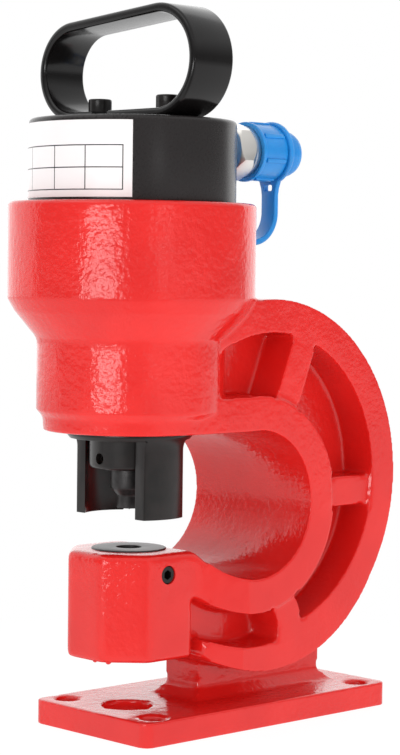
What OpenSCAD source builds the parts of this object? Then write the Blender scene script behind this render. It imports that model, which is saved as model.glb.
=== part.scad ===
// Hydraulic hole punch: a C-shaped casting with a spring-return ram, a punch and a die.
// The origin is the centre of the bolt holes on the underside of the base plate.
// Millimetres, +Z up, the throat opens towards -X.

/* [Base plate] */
// Length of the base plate, front to back
base_l = 190; // [180:1:205]
// Width of the base plate
base_w = 93; // [88:1:110]
// Thickness of the base plate
base_t = 13.4; // [11:0.2:16]
// Corner radius of the base plate
base_corner_r = 6; // [3:0.5:9]
// Distance of the bolt holes from the front and back edges
bolt_inset_x = 15; // [11:0.5:18]
// Distance of the bolt holes from the side edges
bolt_inset_y = 11; // [10:0.5:14]
// Diameter of each bolt hole
bolt_hole_d = 13; // [9:0.5:14]
// Distance from the front edge of the base plate to the punch axis
axis_inset = 28; // [24:0.5:30]
// Diameter of the slug hole through the base plate
slug_hole_d = 28; // [20:0.5:32]

/* [Frame] */
// Depth of the throat, from the punch axis to its back wall
throat_depth = 95; // [92:0.5:98]
// Radius of the throat
throat_r = 41; // [38:0.5:42]
// Height of the throat's centre above the floor
throat_z = 124; // [122:0.5:126]
// Width of the frame, side to side
frame_w = 94; // [90:0.5:95]
// Radius of the frame's round back
back_r = 101; // [98:0.5:103]
// Distance from the punch axis to the centre of the round back
back_x = 65; // [63:0.5:67]
// Height of the centre of the round back
back_z = 136; // [134:0.5:138]
// Radius of the frame's round underside
belly_r = 94.5; // [93:0.5:96]
// Distance from the punch axis to the centre of the round underside
belly_x = 66; // [64:0.5:67]
// Height of the centre of the round underside
belly_z = 125.5; // [124:0.5:126]
// Thickness of the rim round the throat
rim_t = 19; // [16:0.5:21]
// Thickness of the flange round the outside
flange_t = 18.5; // [14:0.5:20]
// How far the rim stands out from the flange and the ribs
rim_proud = 1.5; // [0.5:0.25:3]
// Depth of the pockets between rim and flange
pocket_depth = 24; // [16:0.5:28]
// Width of the two slanted ribs
rib_w = 18; // [12:0.5:20]
// Slope of the slanted ribs
rib_angle = 68; // [64:1:72]
// Width of the level rib
level_rib_w = 17; // [14:0.5:24]
// Height of the level rib above the throat's centre
level_rib_rise = 3; // [-2:0.5:6]
// How far the level rib lies below the frame's side
level_rib_drop = 5; // [2:0.5:10]
// Height of the pocket beside the die boss
toe_pocket_h = 18.5; // [16:0.5:22]
// Width of the open end of that pocket
toe_gap = 5; // [4:0.5:10]

/* [Pedestal] */
// Width of the pedestal
pedestal_w = 27; // [22:0.5:36]
// Distance from the punch axis to the pedestal's front
pedestal_front = 41; // [38:0.5:46]
// Length of the pedestal
pedestal_l = 97; // [85:0.5:102]
// Size of the flare at the pedestal's foot
foot_flare = 6; // [3:0.5:9]

/* [Die boss] */
// Width of the eight-sided die boss across its flats
boss_w = 64.6; // [62:0.2:72]
// Length of the boss's flat sides behind the punch axis
boss_flat_l = 19; // [16:0.5:22]
// Height of the boss's top face
boss_top = 100; // [98:0.5:102]
// Height of the boss's underside
boss_bottom = 41.5; // [40:0.5:46]
// Distance from the punch axis to where the lower arm has its full width
flare_x = 47; // [42:0.5:52]
// Diameter of the slug bore through the boss
slug_bore_d = 24; // [20:0.5:28]

/* [Cylinder housing] */
// Diameter of the cylinder
cyl_d = 135; // [128:0.5:140]
// Height of the cylinder's top face
cyl_top = 288.4; // [286:0.2:292]
// Height of the cylinder's straight wall
cyl_h = 52; // [48:0.5:56]
// Depth of the round under the straight wall
cyl_round_h = 7; // [4:0.5:9]
// Width of the round under the straight wall
cyl_round_w = 4; // [2:0.5:6]
// Diameter of the neck
neck_d = 102.6; // [100:0.2:106]
// Height of the neck's upper end
neck_top = 214.5; // [211:0.5:218]
// Height of the neck's lower end
neck_low = 176; // [174:0.5:180]
// Height of the slope under the neck
neck_slope = 4; // [2:0.5:6]
// Diameter of the round nose under the neck
nose_d = 95.2; // [95.2:0.2:97]
// Chamfer round the bottom of the nose
nose_chamfer = 1; // [1:0.5:4]
// Chamfer round the cylinder's top face
cyl_chamfer = 1.5; // [0.5:0.5:3]
// Diameter of the cylinder bore
bore_d = 76; // [72:0.5:80]

/* [Cylinder cap] */
// Diameter of the cap
cap_d = 112.8; // [108:0.2:118]
// Height of the cap above the cylinder
cap_h = 44.6; // [42:0.2:48]
// Chamfer round the cap's top
cap_chamfer = 2.5; // [1:0.5:4]
// Diameter of the cap's screwed spigot
cap_spigot_d = 92; // [88:0.5:96]
// Thickness of the cap's sealing ring
cap_ring_d = 3; // [2:0.2:4]
// Height of the sealing ring above the spigot's end
cap_ring_rise = 5; // [4:0.5:7]
// Diameter of the oil passage
oil_hole_d = 8; // [5:0.5:9]

/* [Label] */
// Angle that the label covers
label_angle = 96; // [60:1:110]
// Height of the label
label_h = 40; // [30:0.5:41]
// Thickness of the label
label_t = 0.3; // [0.2:0.05:0.6]
// Height of the label's lower edge above the cylinder
label_rise = 1.6; // [0.6:0.2:2]

/* [Handle] */
// Overall length of the handle loop
handle_l = 126; // [116:1:132]
// Height of the handle loop on the near side
handle_near_h = 60; // [54:0.5:62]
// Height of the handle loop on the far side
handle_far_h = 54.5; // [50:0.5:58]
// Width of the handle strip
handle_w = 29; // [24:0.5:36]
// Thickness of the handle strip
handle_t = 5; // [4:0.5:6]
// Distance of the handle screws from the start of the near bend
handle_screw_inset = 5.5; // [3:0.5:8]
// Length of the foot past the screw on the near side
near_foot = 33; // [26:0.5:34]
// Length of the foot past the screw on the far side
far_foot = 9.5; // [8:0.5:12]
// Thread diameter of the handle screws
handle_screw_d = 8; // [6:0.5:10]
// Depth of the handle screws in the cap
handle_screw_depth = 15; // [10:0.5:20]
// Diameter of the handle screws' heads
screw_head_d = 13; // [12:0.5:15]
// Height of the handle screws' heads
screw_head_h = 7.6; // [6:0.2:9]
// Width across the flats of the key that turns the handle screws
screw_key_af = 5.5; // [4:0.5:7]
// Play of the handle screws in the handle's holes
handle_hole_play = 0.6; // [0.4:0.1:1]
// Chamfer along the edges of the handle strip
handle_edge = 1.5; // [0.5:0.25:1.75]

/* [Ram] */
// Stroke of the ram
stroke = 24; // [20:0.5:26]
// Depth that the punch enters the die at the end of the stroke
die_entry = 2.4; // [1:0.2:4]
// Diameter of the rod
rod_d = 44; // [40:0.5:46]
// Height of the piston
piston_h = 24.4; // [22:0.2:26]
// Gap between the piston and the cap when the ram is up
piston_gap = 0.3; // [0.2:0.05:0.6]
// Round at the rod's lower edge
rod_round = 3; // [1:0.5:4]
// Height of the rod's end above the punch's tip
punch_reach = 21.7; // [19:0.1:23]
// Height of the piston seal
seal_h = 5; // [4:0.5:6]
// Height of the ring behind the seal
backup_h = 2; // [1.5:0.25:2.5]
// Height of the piston's wear ring
wear_h = 6; // [4:0.5:7]
// Depth of the seal groove
seal_groove = 5; // [4:0.25:6]
// Depth of the wear ring's groove
wear_groove = 2.5; // [2:0.25:3]
// Height of the piston's lands above and below its grooves
piston_land = 3; // [2:0.25:3.5]

/* [Return spring] */
// Length of the spring when the ram is up
spring_l = 52; // [50:0.5:53]
// Mean diameter of the spring
spring_d = 60; // [58:0.5:62]
// Wire diameter of the spring
spring_wire = 5.5; // [4.5:0.25:6]
// Number of coils
spring_coils = 3.5; // [3:0.25:4]

/* [Rod guide] */
// Height of the stripper's screwed spigot
spigot_h = 12.4; // [10:0.2:13]
// Height of the rod wiper
wiper_h = 4; // [3:0.25:5]
// Height of the rod bush
bush_h = 16; // [14:0.5:17]
// Diameter of the rod bush
bush_d = 54; // [53:0.5:56]

/* [Stripper] */
// Outer diameter of the stripper
stripper_d = 62; // [60:0.5:64]
// Wall of the stripper
stripper_wall = 6; // [4.5:0.25:6.5]
// Diameter of the stripper's flange
stripper_flange_d = 69; // [66:0.5:72]
// Thickness of the stripper's flange
stripper_flange_t = 2; // [1.5:0.25:3]
// Height of the cone under the flange
stripper_cone_h = 2; // [1.5:0.25:4]
// Diameter of the stripper's screwed spigot
stripper_spigot_d = 58; // [57.5:0.25:60]
// Width of the two stripper legs
stripper_leg_w = 28.6; // [22:0.2:34]
// How far the punch's tip lies inside the stripper
tip_recess = 4; // [1:0.1:5]

/* [Punch and die] */
// Cutting diameter of the punch
punch_d = 13.5; // [8:0.5:18]
// Gap between the punch and the die, all round
cut_gap = 0.25; // [0.15:0.05:0.5]
// Diameter of the punch's body
punch_body_d = 21; // [20.5:0.5:24]
// Diameter of the punch's shank
punch_shank_d = 20; // [18:0.5:20]
// Length of the punch's shank
punch_shank_l = 24; // [18:0.5:28]
// Length of the punch's cutting end
punch_tip_l = 7; // [5:0.5:9]
// Length of the slope behind the cutting end
punch_slope_l = 4; // [2:0.5:6]
// Length of the centring nib
nib_l = 1.1; // [0.8:0.1:2]
// Diameter of the die
die_d = 41; // [38:0.5:44]
// Height of the die
die_h = 20; // [16:0.5:24]
// How far the die stands above the boss
die_rise = 0.7; // [0.2:0.1:1.5]
// Depth of the die's cutting land
die_land = 6; // [4:0.5:10]
// Relief below the cutting land, all round
die_relief = 1.5; // [1:0.25:2.5]

/* [Set screws] */
// Diameter of the die's set screw
die_screw_d = 10; // [8:0.5:10]
// Length of the die's set screw
die_screw_l = 11; // [6:0.5:11.5]
// Height of the die's set screw below the boss's top
die_screw_drop = 11.5; // [9:0.5:14]
// Diameter of the punch's set screw
punch_screw_d = 6; // [5:0.5:7]
// Length of the punch's set screw
punch_screw_l = 9; // [7:0.5:9.5]
// Height of the punch's set screw above the rod's end
punch_screw_rise = 6; // [5:0.5:8]
// Share of a set screw's diameter that its key socket takes
key_share = 0.55; // [0.45:0.05:0.65]
// Gap between a set screw's tip and the tool that it holds
tip_gap = 0.1; // [0.05:0.05:0.2]

/* [Coupler] */
// Height of the coupler's axis below the cap's top
coupler_drop = 13.25; // [12:0.25:15]
// Thread diameter of the oil port
port_d = 17; // [15:0.5:18]
// Length of the coupler's thread in the cap
port_l = 18; // [14:0.5:20]
// Depth of the flat under the seal washer
spot_depth = 1.8; // [1.5:0.1:2.5]
// Diameter of the seal washer
washer_d = 23; // [22.5:0.25:23.5]
// Thickness of the seal washer
washer_t = 2; // [1.5:0.25:2.5]
// Diameter of the coupler's neck
coupler_neck_d = 22; // [20:0.5:22]
// Length of the coupler's neck
coupler_neck_l = 11.4; // [10.5:0.1:13]
// Width across the flats of the hexagon
hex_af = 30; // [27:0.5:32]
// Length of the hexagon
hex_l = 13; // [10:0.5:16]
// Turn of the hexagon about its axis
hex_turn = 49; // [0:1:60]
// Diameter of the collar in front of the hexagon
collar_d = 29.2; // [28.6:0.2:30]
// Length of the collar
collar_l = 3; // [2:0.5:3.5]
// Diameter of the coupler's nose
nipple_d = 28; // [26:0.5:28]
// Length of the coupler's nose
nipple_l = 17.5; // [15:0.5:18]
// Chamfer round the nose's end
nipple_chamfer = 1; // [0.5:0.25:1.5]
// Diameter of the nose's screwed end
nipple_spigot_d = 20; // [18:0.5:21]
// Length of the nose's screwed end
nipple_spigot_l = 11; // [8:0.5:12]
// Diameter of the poppet's chamber
chamber_d = 14; // [13:0.5:15]
// Diameter of the opening that the poppet closes
seat_d = 10; // [8:0.5:11]
// Length of the opening that the poppet closes
seat_l = 4; // [3:0.5:5]
// Length of the poppet's head
poppet_head_l = 4; // [3:0.5:6]
// Length of the poppet's stem
poppet_stem_l = 12; // [9:0.5:14]
// Diameter of the poppet's stem
poppet_stem_d = 6; // [5:0.5:7]
// Wire diameter of the poppet's spring
poppet_wire = 1; // [0.8:0.1:1.2]
// Number of coils of the poppet's spring
poppet_coils = 5; // [4:0.5:6]
// Diameter of the oil way through the coupler
oil_way_d = 8; // [6:0.5:9]
// Thickness of the nose's sealing ring
nipple_ring_d = 2; // [1.6:0.1:2.4]
// Distance of the sealing ring from the nose's end
nipple_ring_back = 5; // [4:0.5:8]

/* [Dust cap] */
// Outer diameter of the dust cap's sleeve
dust_d = 32.4; // [31.2:0.2:33]
// Length of the dust cap's sleeve
dust_sleeve_l = 20; // [17:0.5:21]
// Number of ribs on the sleeve
dust_ribs = 7; // [4:1:10]
// Turn of the ribs about the cap's axis
dust_rib_turn = 31; // [0:1:60]
// Width of each rib
dust_rib_w = 3; // [2:0.5:5]
// Height of each rib
dust_rib_h = 1.1; // [0.6:0.1:1.4]
// Diameter of the knob
knob_d = 27.4; // [24:0.2:27.4]
// Length of the knob
knob_l = 15; // [10:0.5:16]
// Round at the knob's end
knob_round = 4; // [2:0.5:5]
// Wall of the knob
knob_wall = 3.6; // [2.6:0.2:4.6]
// Height of the bead that holds the strap's ring
bead_h = 0.9; // [0.5:0.1:1.2]
// Length of the bead
bead_l = 1.8; // [1:0.2:3]

/* [Strap] */
// Thickness of the strap
strap_t = 3.4; // [2.5:0.1:4]
// Width of the strap
strap_w = 11; // [8:0.5:14]
// Wall of the strap's outer ring
strap_ring_wall = 4.1; // [3:0.1:5]
// Wall of the strap's inner ring
strap_inner_wall = 3.8; // [3:0.1:5]
// Length of the strap's straight run below the outer ring
strap_drop = 20; // [16:0.5:24]
// Distance of the strap from the cylinder's wall
strap_stand = 4; // [3.5:0.25:5]
// Radius of the bend at the inner ring
strap_bend_r = 8; // [7:0.25:9]
// Gap between the strap's rings and what they hang on
ring_gap = 0.2; // [0.1:0.05:0.3]

/* [Clearances] */
// Running fit of sliding pieces, all round
run_gap = 0.05; // [0.02:0.01:0.1]
// Fit of pieces that are screwed or pressed in, all round
seat_gap = 0.05; // [0.02:0.01:0.1]
// Gap round loose soft pieces
loose_gap = 0.3; // [0.2:0.05:0.5]

/* [Hidden] */
$fn = 96;

// Cutters reach this far past the face that they open
over = 1;
// Two faces that would only touch tangentially are set this far apart
blend_step = 0.4;
// The handle's grip is this much thinner than its bends all round, and its ends lie inside them
grip_ease = 0.05;

bolt_span_x = base_l - 2 * bolt_inset_x;
bolt_span_y = base_w - 2 * bolt_inset_y;
punch_offset = base_l / 2 - axis_inset;
throat_x = throat_depth - throat_r;
rim_r = throat_r + rim_t;
ceiling_z = throat_z + throat_r - blend_step;
arm_top = back_z + back_r;
boss_half = boss_w / 2 - blend_step;
frame_half = frame_w / 2;

die_top = boss_top + die_rise;
die_seat_z = die_top - die_h;
die_hole_d = punch_d + 2 * cut_gap;
tip_z = die_top - die_entry + stroke;
rod_end_z = tip_z + punch_reach;
stripper_end_z = tip_z - tip_recess;
window_top_z = ceiling_z - stripper_flange_t - stripper_cone_h;

spigot_top_z = ceiling_z + spigot_h;
bush_z = spigot_top_z + wiper_h;
spring_seat_z = bush_z + bush_h;
piston_z = spring_seat_z + spring_l;
piston_top_z = piston_z + piston_h;
cap_under_z = piston_top_z + piston_gap;
cap_top = cyl_top + cap_h;
wear_z = piston_z + piston_land;
backup_z = piston_top_z - piston_land - backup_h;
seal_z = backup_z - seal_h;

coupler_z = cap_top - coupler_drop;
spot_x = cap_d / 2 - spot_depth;
thread_x = spot_x - port_l;
port_end_x = thread_x - oil_hole_d;
neck_x = spot_x + washer_t;
hex_x = neck_x + coupler_neck_l;
collar_x = hex_x + hex_l;
nipple_x = collar_x + collar_l;
nipple_end_x = nipple_x + nipple_l;
chamber_x = nipple_x - nipple_spigot_l;
seat_x = nipple_end_x - seat_l;
poppet_x = seat_x - run_gap - poppet_head_l;
dust_x = nipple_x + loose_gap;
groove_x = dust_x + dust_sleeve_l;
bead_x = groove_x + strap_t + 2 * ring_gap;
knob_x = bead_x + bead_l;
strap_ring_r = knob_d / 2 + ring_gap;
inner_ring_r = coupler_neck_d / 2 + ring_gap;

strap_x = groove_x + ring_gap + strap_t / 2;
strap_inner_x = neck_x + strap_t / 2 + ring_gap * 2;
strap_back_x = max(cyl_d / 2 + strap_stand, strap_inner_x + strap_bend_r);
strap_loop_r = (strap_x - strap_back_x) / 2;
strap_loop_z = coupler_z - strap_ring_r - strap_drop;
strap_bend_z = cyl_top + strap_t;

screw_key_d = screw_key_af / cos(30);
handle_screw_hole_d = handle_screw_d + handle_hole_play;
near_r = handle_near_h / 2;
far_r = handle_far_h / 2;
near_straight = handle_l / 2 - near_r;
far_straight = handle_l / 2 - far_r;
grip_l = near_straight + far_straight;
grip_slope = 2 * atan((near_r - far_r) / grip_l);
handle_screw_y = near_straight - handle_screw_inset;

die_screw_y = die_d / 2 + seat_gap + tip_gap;
punch_screw_x = punch_shank_d / 2 + seat_gap + tip_gap;

// Puts shapes drawn round the punch axis in their place
module at_punch() {
    translate([-punch_offset, 0, 0]) children();
}

// Stands a side outline up, centred on the middle plane
module side_plate(width) {
    rotate([90, 0, 0]) linear_extrude(width, center = true) children();
}

// Lays a turned shape along the coupler's axis
module along_coupler() {
    translate([0, 0, coupler_z]) rotate([0, 90, 0]) children();
}

// A ring with a square section, along the axis that it is drawn on
module collar(inner_r, outer_r, low, high) {
    rotate_extrude() translate([inner_r, low]) square([outer_r - inner_r, high - low]);
}

// The section of a flat bar with broken edges
module strip_outline(width, thick, cut) {
    x = width / 2;
    y = thick / 2;
    polygon([[-x, -y + cut], [-x + cut, -y], [x - cut, -y], [x, -y + cut],
             [x, y - cut], [x - cut, y], [-x + cut, y], [-x, y - cut]]);
}

// A set screw with a hexagon socket, its tip at the start
module grub_screw(d, length) {
    difference() {
        cylinder(d = d, h = length);
        translate([0, 0, length / 2]) cylinder(d = d * key_share, h = length, $fn = 6);
    }
}

// One wire wound into an open coil, as a single tube
coil_rings = 8;
coil_sides = 6;

function coil_centre(i, mean_d, pitch) =
    let (a = 360 * i / coil_rings)
    [mean_d / 2 * cos(a), mean_d / 2 * sin(a), pitch * i / coil_rings];

function coil_point(i, j, mean_d, wire, pitch) =
    let (a = 360 * i / coil_rings, s = 360 * j / coil_sides, c = coil_centre(i, mean_d, pitch))
    c + wire / 2 * [cos(s) * cos(a), cos(s) * sin(a), sin(s)];

function coil_gap(count, mean_d, wire, pitch) =
    min([for (i = [0 : count - coil_rings], k = [coil_rings / 2 : coil_rings + 1])
        if (i + k <= count)
            norm(coil_centre(i + k, mean_d, pitch) - coil_centre(i, mean_d, pitch))]) - wire;

module coil(mean_d, wire, coils, length) {
    count = round(coils * coil_rings);
    pitch = (length - wire) / coils;
    points = [for (i = [0 : count], j = [0 : coil_sides - 1])
        coil_point(i, j, mean_d, wire, pitch)];
    sides = [for (i = [0 : count - 1], j = [0 : coil_sides - 1])
        let (a = i * coil_sides + j, b = i * coil_sides + (j + 1) % coil_sides)
        each [[a, a + coil_sides, b], [b, a + coil_sides, b + coil_sides]]];
    start = [for (j = [1 : coil_sides - 2]) [0, j, j + 1]];
    last = count * coil_sides;
    end = [for (j = [1 : coil_sides - 2]) [last, last + j + 1, last + j]];
    echo(least_gap = coil_gap(count, mean_d, wire, pitch));
    translate([0, 0, wire / 2]) polyhedron(points, concat(sides, start, end));
}

// Frame

module ring_outline() {
    intersection() {
        union() {
            translate([back_x, back_z]) circle(back_r);
            translate([belly_x, belly_z]) circle(belly_r);
            translate([0, ceiling_z]) square([back_x, arm_top - ceiling_z - blend_step]);
            translate([0, boss_bottom]) square([back_x, boss_top - boss_bottom]);
        }
        square([back_x + back_r + over, arm_top + over]);
    }
}

module throat_outline() {
    translate([throat_x, throat_z]) circle(throat_r);
    translate([-over, boss_top]) square([throat_x + over, ceiling_z - boss_top]);
}

module pocket_outline() {
    difference() {
        union() {
            translate([back_x, back_z]) circle(back_r - flange_t);
            intersection() {
                translate([throat_x, throat_z]) circle(rim_r + toe_pocket_h);
                translate([boss_flat_l, 0]) square([throat_x - boss_flat_l + rib_w, throat_z]);
            }
            translate([boss_flat_l, 0]) square([toe_gap, throat_z]);
        }
        translate([throat_x, throat_z]) circle(rim_r);
        translate([-back_r, throat_z]) square([back_r + throat_x, rim_r - blend_step]);
        translate([-back_r, 0]) square([back_r + boss_flat_l, arm_top]);
        for (slope = [-rib_angle, rib_angle])
            translate([throat_x, throat_z]) rotate(slope)
                translate([0, -rib_w / 2]) square([2 * back_r, rib_w]);
    }
}

module pocket_cut() {
    floor_y = frame_half - pocket_depth;
    difference() {
        translate([0, -floor_y, 0]) rotate([90, 0, 0])
            linear_extrude(pocket_depth + over) pocket_outline();
        translate([throat_x, -frame_half + level_rib_drop,
                   throat_z + level_rib_rise - level_rib_w / 2])
            cube([2 * back_r, pocket_depth, level_rib_w]);
    }
}

module relief_cut() {
    translate([0, rim_proud - frame_half, 0]) rotate([90, 0, 0])
        linear_extrude(rim_proud + over) difference() {
            square([back_x + back_r + over, arm_top + over]);
            translate([throat_x, throat_z]) circle(rim_r);
            translate([-over, throat_z]) square([throat_x + over, rim_r - blend_step]);
        }
}

module flare_cut() {
    outside = frame_half + over;
    linear_extrude(throat_z)
        polygon([[-over, -boss_half], [boss_flat_l, -boss_half], [flare_x, -frame_half],
                 [flare_x, -outside], [-over, -outside]]);
}

module ring_body() {
    difference() {
        side_plate(frame_w) ring_outline();
        side_plate(frame_w + 2 * over) throat_outline();
        for (side = [0, 1]) mirror([0, side, 0]) {
            pocket_cut();
            relief_cut();
            flare_cut();
        }
    }
}

module housing() {
    cyl_r = cyl_d / 2;
    wall_low = cyl_top - cyl_h;
    rotate_extrude()
        polygon([[0, ceiling_z], [nose_d / 2 - nose_chamfer, ceiling_z],
                 [nose_d / 2, ceiling_z + nose_chamfer], [nose_d / 2, neck_low - neck_slope],
                 [neck_d / 2, neck_low], [neck_d / 2, neck_top],
                 [cyl_r - cyl_round_w, wall_low - cyl_round_h], [cyl_r, wall_low],
                 [cyl_r, cyl_top - cyl_chamfer], [cyl_r - cyl_chamfer, cyl_top], [0, cyl_top]]);
}

module die_boss() {
    half = boss_w / 2;
    corner = half * tan(180 / 8);
    back = boss_flat_l - blend_step;
    translate([0, 0, boss_bottom]) linear_extrude(boss_top - boss_bottom)
        polygon([[back, -half], [back, half], [-corner, half], [-half, corner],
                 [-half, -corner], [-corner, -half]]);
}

module pedestal() {
    top_z = belly_z - belly_r / 2;
    translate([pedestal_front, -pedestal_w / 2, base_t - over])
        cube([pedestal_l, pedestal_w, top_z - base_t + over]);
    intersection() {
        translate([pedestal_front + pedestal_l / 2, 0, base_t])
            side_plate(base_w) foot_outline(pedestal_l);
        translate([pedestal_front + pedestal_l / 2, 0, base_t]) rotate([0, 0, 90])
            side_plate(2 * base_l) foot_outline(pedestal_w);
    }
}

module foot_outline(width) {
    half = width / 2;
    polygon([[-half - foot_flare, -over], [half + foot_flare, -over], [half + foot_flare, 0],
             [half, foot_flare], [-half, foot_flare], [-half - foot_flare, 0]]);
}

module base_outline() {
    square([base_l, base_w - 2 * base_corner_r], center = true);
    square([base_l - 2 * base_corner_r, base_w], center = true);
    for (x = [-1, 1], y = [-1, 1])
        translate([x * (base_l / 2 - base_corner_r), y * (base_w / 2 - base_corner_r)])
            circle(base_corner_r);
}

module base_plate() {
    translate([punch_offset, 0, 0]) linear_extrude(base_t) base_outline();
}

module base_holes() {
    for (x = [-1, 1], y = [-1, 1])
        translate([punch_offset + x * bolt_span_x / 2, y * bolt_span_y / 2, -over])
            cylinder(d = bolt_hole_d, h = base_t + 2 * over);
    translate([0, 0, -over]) cylinder(d = slug_hole_d, h = base_t + 2 * over);
}

module ram_bores() {
    translate([0, 0, ceiling_z - over])
        cylinder(d = stripper_spigot_d + 2 * seat_gap, h = spigot_h + over);
    translate([0, 0, spigot_top_z - over])
        cylinder(d = bush_d + 2 * seat_gap, h = wiper_h + bush_h + 2 * over);
    translate([0, 0, spring_seat_z]) cylinder(d = bore_d, h = cyl_top - spring_seat_z + over);
    translate([0, 0, cap_under_z - piston_gap])
        cylinder(d = cap_spigot_d + 2 * seat_gap, h = cyl_top - cap_under_z + piston_gap + over);
}

module die_bores() {
    translate([0, 0, die_seat_z]) cylinder(d = die_d + 2 * seat_gap, h = die_h + over);
    translate([0, 0, boss_bottom - over]) cylinder(d = slug_bore_d, h = boss_top - boss_bottom);
    translate([0, 0, boss_top - die_screw_drop]) rotate([90, 0, 0])
        cylinder(d = die_screw_d + 2 * run_gap, h = boss_w / 2 + over);
}

module c_frame() {
    color("crimson") at_punch() difference() {
        union() {
            ring_body();
            housing();
            die_boss();
            pedestal();
            base_plate();
        }
        base_holes();
        ram_bores();
        die_bores();
    }
}

// Cylinder cap and what it carries

module cylinder_cap() {
    spigot_r = cap_spigot_d / 2;
    groove_z = cap_under_z + cap_ring_rise;
    color("dimgray") at_punch() difference() {
        rotate_extrude()
            polygon([[0, cap_under_z], [spigot_r, cap_under_z], [spigot_r, groove_z],
                     [spigot_r - cap_ring_d, groove_z],
                     [spigot_r - cap_ring_d, groove_z + cap_ring_d + loose_gap],
                     [spigot_r, groove_z + cap_ring_d + loose_gap], [spigot_r, cyl_top],
                     [cap_d / 2, cyl_top], [cap_d / 2, cap_top - cap_chamfer],
                     [cap_d / 2 - cap_chamfer, cap_top], [0, cap_top]]);
        along_coupler() {
            translate([0, 0, port_end_x])
                cylinder(d = port_d + 2 * seat_gap, h = cap_d / 2);
            translate([0, 0, spot_x]) cylinder(d = washer_d + 2 * loose_gap, h = cap_d / 2);
        }
        translate([port_end_x + oil_hole_d / 2, 0, cap_under_z - over])
            cylinder(d = oil_hole_d, h = coupler_z - cap_under_z);
        for (side = [-1, 1])
            translate([0, side * handle_screw_y, cap_top - handle_screw_depth - over])
                cylinder(d = handle_screw_d + 2 * seat_gap, h = handle_screw_depth + 2 * over);
    }
}

module cap_o_ring() {
    ring_r = cap_spigot_d / 2 - cap_ring_d / 2;
    color("black") at_punch()
        translate([0, 0, cap_under_z + cap_ring_rise + (cap_ring_d + loose_gap) / 2])
            rotate_extrude() translate([ring_r, 0]) circle(d = cap_ring_d - 2 * seat_gap);
}

module rating_label() {
    color("white") at_punch() translate([0, 0, cyl_top + label_rise])
        rotate([0, 0, 180 - label_angle / 2]) rotate_extrude(angle = label_angle)
            translate([cap_d / 2 + seat_gap, 0]) square([label_t, label_h]);
}

module handle_bend(radius, slope) {
    rotate([0, 90, 0]) rotate_extrude(angle = 180 - slope)
        translate([radius - handle_t / 2, 0]) rotate(90) strip_outline(handle_w, handle_t, handle_edge);
}

module handle_bar(from_y, to_y, z, ease) {
    translate([0, from_y, z]) rotate([-90, 0, 0]) linear_extrude(to_y - from_y)
        strip_outline(handle_w - 2 * ease, handle_t - 2 * ease, handle_edge);
}

module carry_handle() {
    color("black") at_punch() translate([0, 0, cap_top]) difference() {
        union() {
            handle_bar(-near_straight, near_foot - handle_screw_y, handle_t / 2, 0);
            handle_bar(handle_screw_y - far_foot, far_straight, handle_t / 2, 0);
            translate([0, far_straight, far_r]) handle_bend(far_r, grip_slope);
            translate([0, -near_straight, near_r]) {
                mirror([0, 1, 0]) handle_bend(near_r, -grip_slope);
                rotate([-grip_slope, 0, 0])
                    handle_bar(-over / 2, grip_l + over / 2, near_r - handle_t / 2, grip_ease);
            }
        }
        for (side = [-1, 1]) translate([0, side * handle_screw_y, 0]) {
            translate([0, 0, -over]) cylinder(d = handle_screw_hole_d, h = handle_t + 2 * over);
            translate([0, 0, handle_t]) cylinder(d = screw_head_d + 2 * loose_gap, h = screw_head_h);
        }
    }
}

module handle_screw() {
    difference() {
        union() {
            translate([0, 0, -handle_t - handle_screw_depth])
                cylinder(d = handle_screw_d, h = handle_t + handle_screw_depth);
            cylinder(d = screw_head_d, h = screw_head_h);
        }
        translate([0, 0, screw_head_h / 2]) cylinder(d = screw_key_d, h = screw_head_h, $fn = 6);
    }
}

module handle_screws() {
    color("dimgray") at_punch() for (side = [-1, 1])
        translate([0, side * handle_screw_y, cap_top + handle_t]) handle_screw();
}

// Ram

module piston_rod() {
    bore_r = bore_d / 2 - run_gap;
    color("gray") at_punch() difference() {
        rotate_extrude()
            polygon([[0, rod_end_z], [rod_d / 2 - rod_round, rod_end_z],
                     [rod_d / 2, rod_end_z + rod_round], [rod_d / 2, piston_z],
                     [bore_r, piston_z], [bore_r, wear_z],
                     [bore_r - wear_groove, wear_z], [bore_r - wear_groove, wear_z + wear_h],
                     [bore_r, wear_z + wear_h], [bore_r, seal_z],
                     [bore_r - seal_groove, seal_z], [bore_r - seal_groove, backup_z + backup_h],
                     [bore_r, backup_z + backup_h], [bore_r, piston_top_z], [0, piston_top_z]]);
        translate([0, 0, rod_end_z - over])
            cylinder(d = punch_shank_d + 2 * seat_gap, h = punch_shank_l + over + seat_gap);
        translate([0, 0, rod_end_z + punch_screw_rise]) rotate([0, -90, 0])
            cylinder(d = punch_screw_d + 2 * run_gap, h = rod_d);
    }
}

module piston_seal() {
    bore_r = bore_d / 2;
    lip = seal_h / 2;
    inner_r = bore_r - run_gap - seal_groove + seat_gap;
    color("teal") at_punch() rotate_extrude()
        polygon([[inner_r, seal_z + seat_gap], [bore_r - run_gap, seal_z + seat_gap],
                 [bore_r - run_gap, seal_z + seal_h],
                 [(inner_r + bore_r) / 2, seal_z + seal_h - lip], [inner_r, seal_z + seal_h]]);
}

module piston_backup_ring() {
    color("ivory") at_punch()
        collar(bore_d / 2 - run_gap - seal_groove + seat_gap, bore_d / 2 - run_gap,
               backup_z + seat_gap, backup_z + backup_h - seat_gap);
}

module piston_wear_ring() {
    color("peru") at_punch()
        collar(bore_d / 2 - run_gap - wear_groove + seat_gap, bore_d / 2 - run_gap,
               wear_z + seat_gap, wear_z + wear_h - seat_gap);
}

module return_spring() {
    color("slategray") at_punch() translate([0, 0, spring_seat_z + loose_gap])
        coil(spring_d, spring_wire, spring_coils, spring_l - 2 * loose_gap);
}

module rod_bush() {
    color("darkgoldenrod") at_punch()
        collar(rod_d / 2 + run_gap, bush_d / 2, bush_z, spring_seat_z - seat_gap);
}

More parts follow.
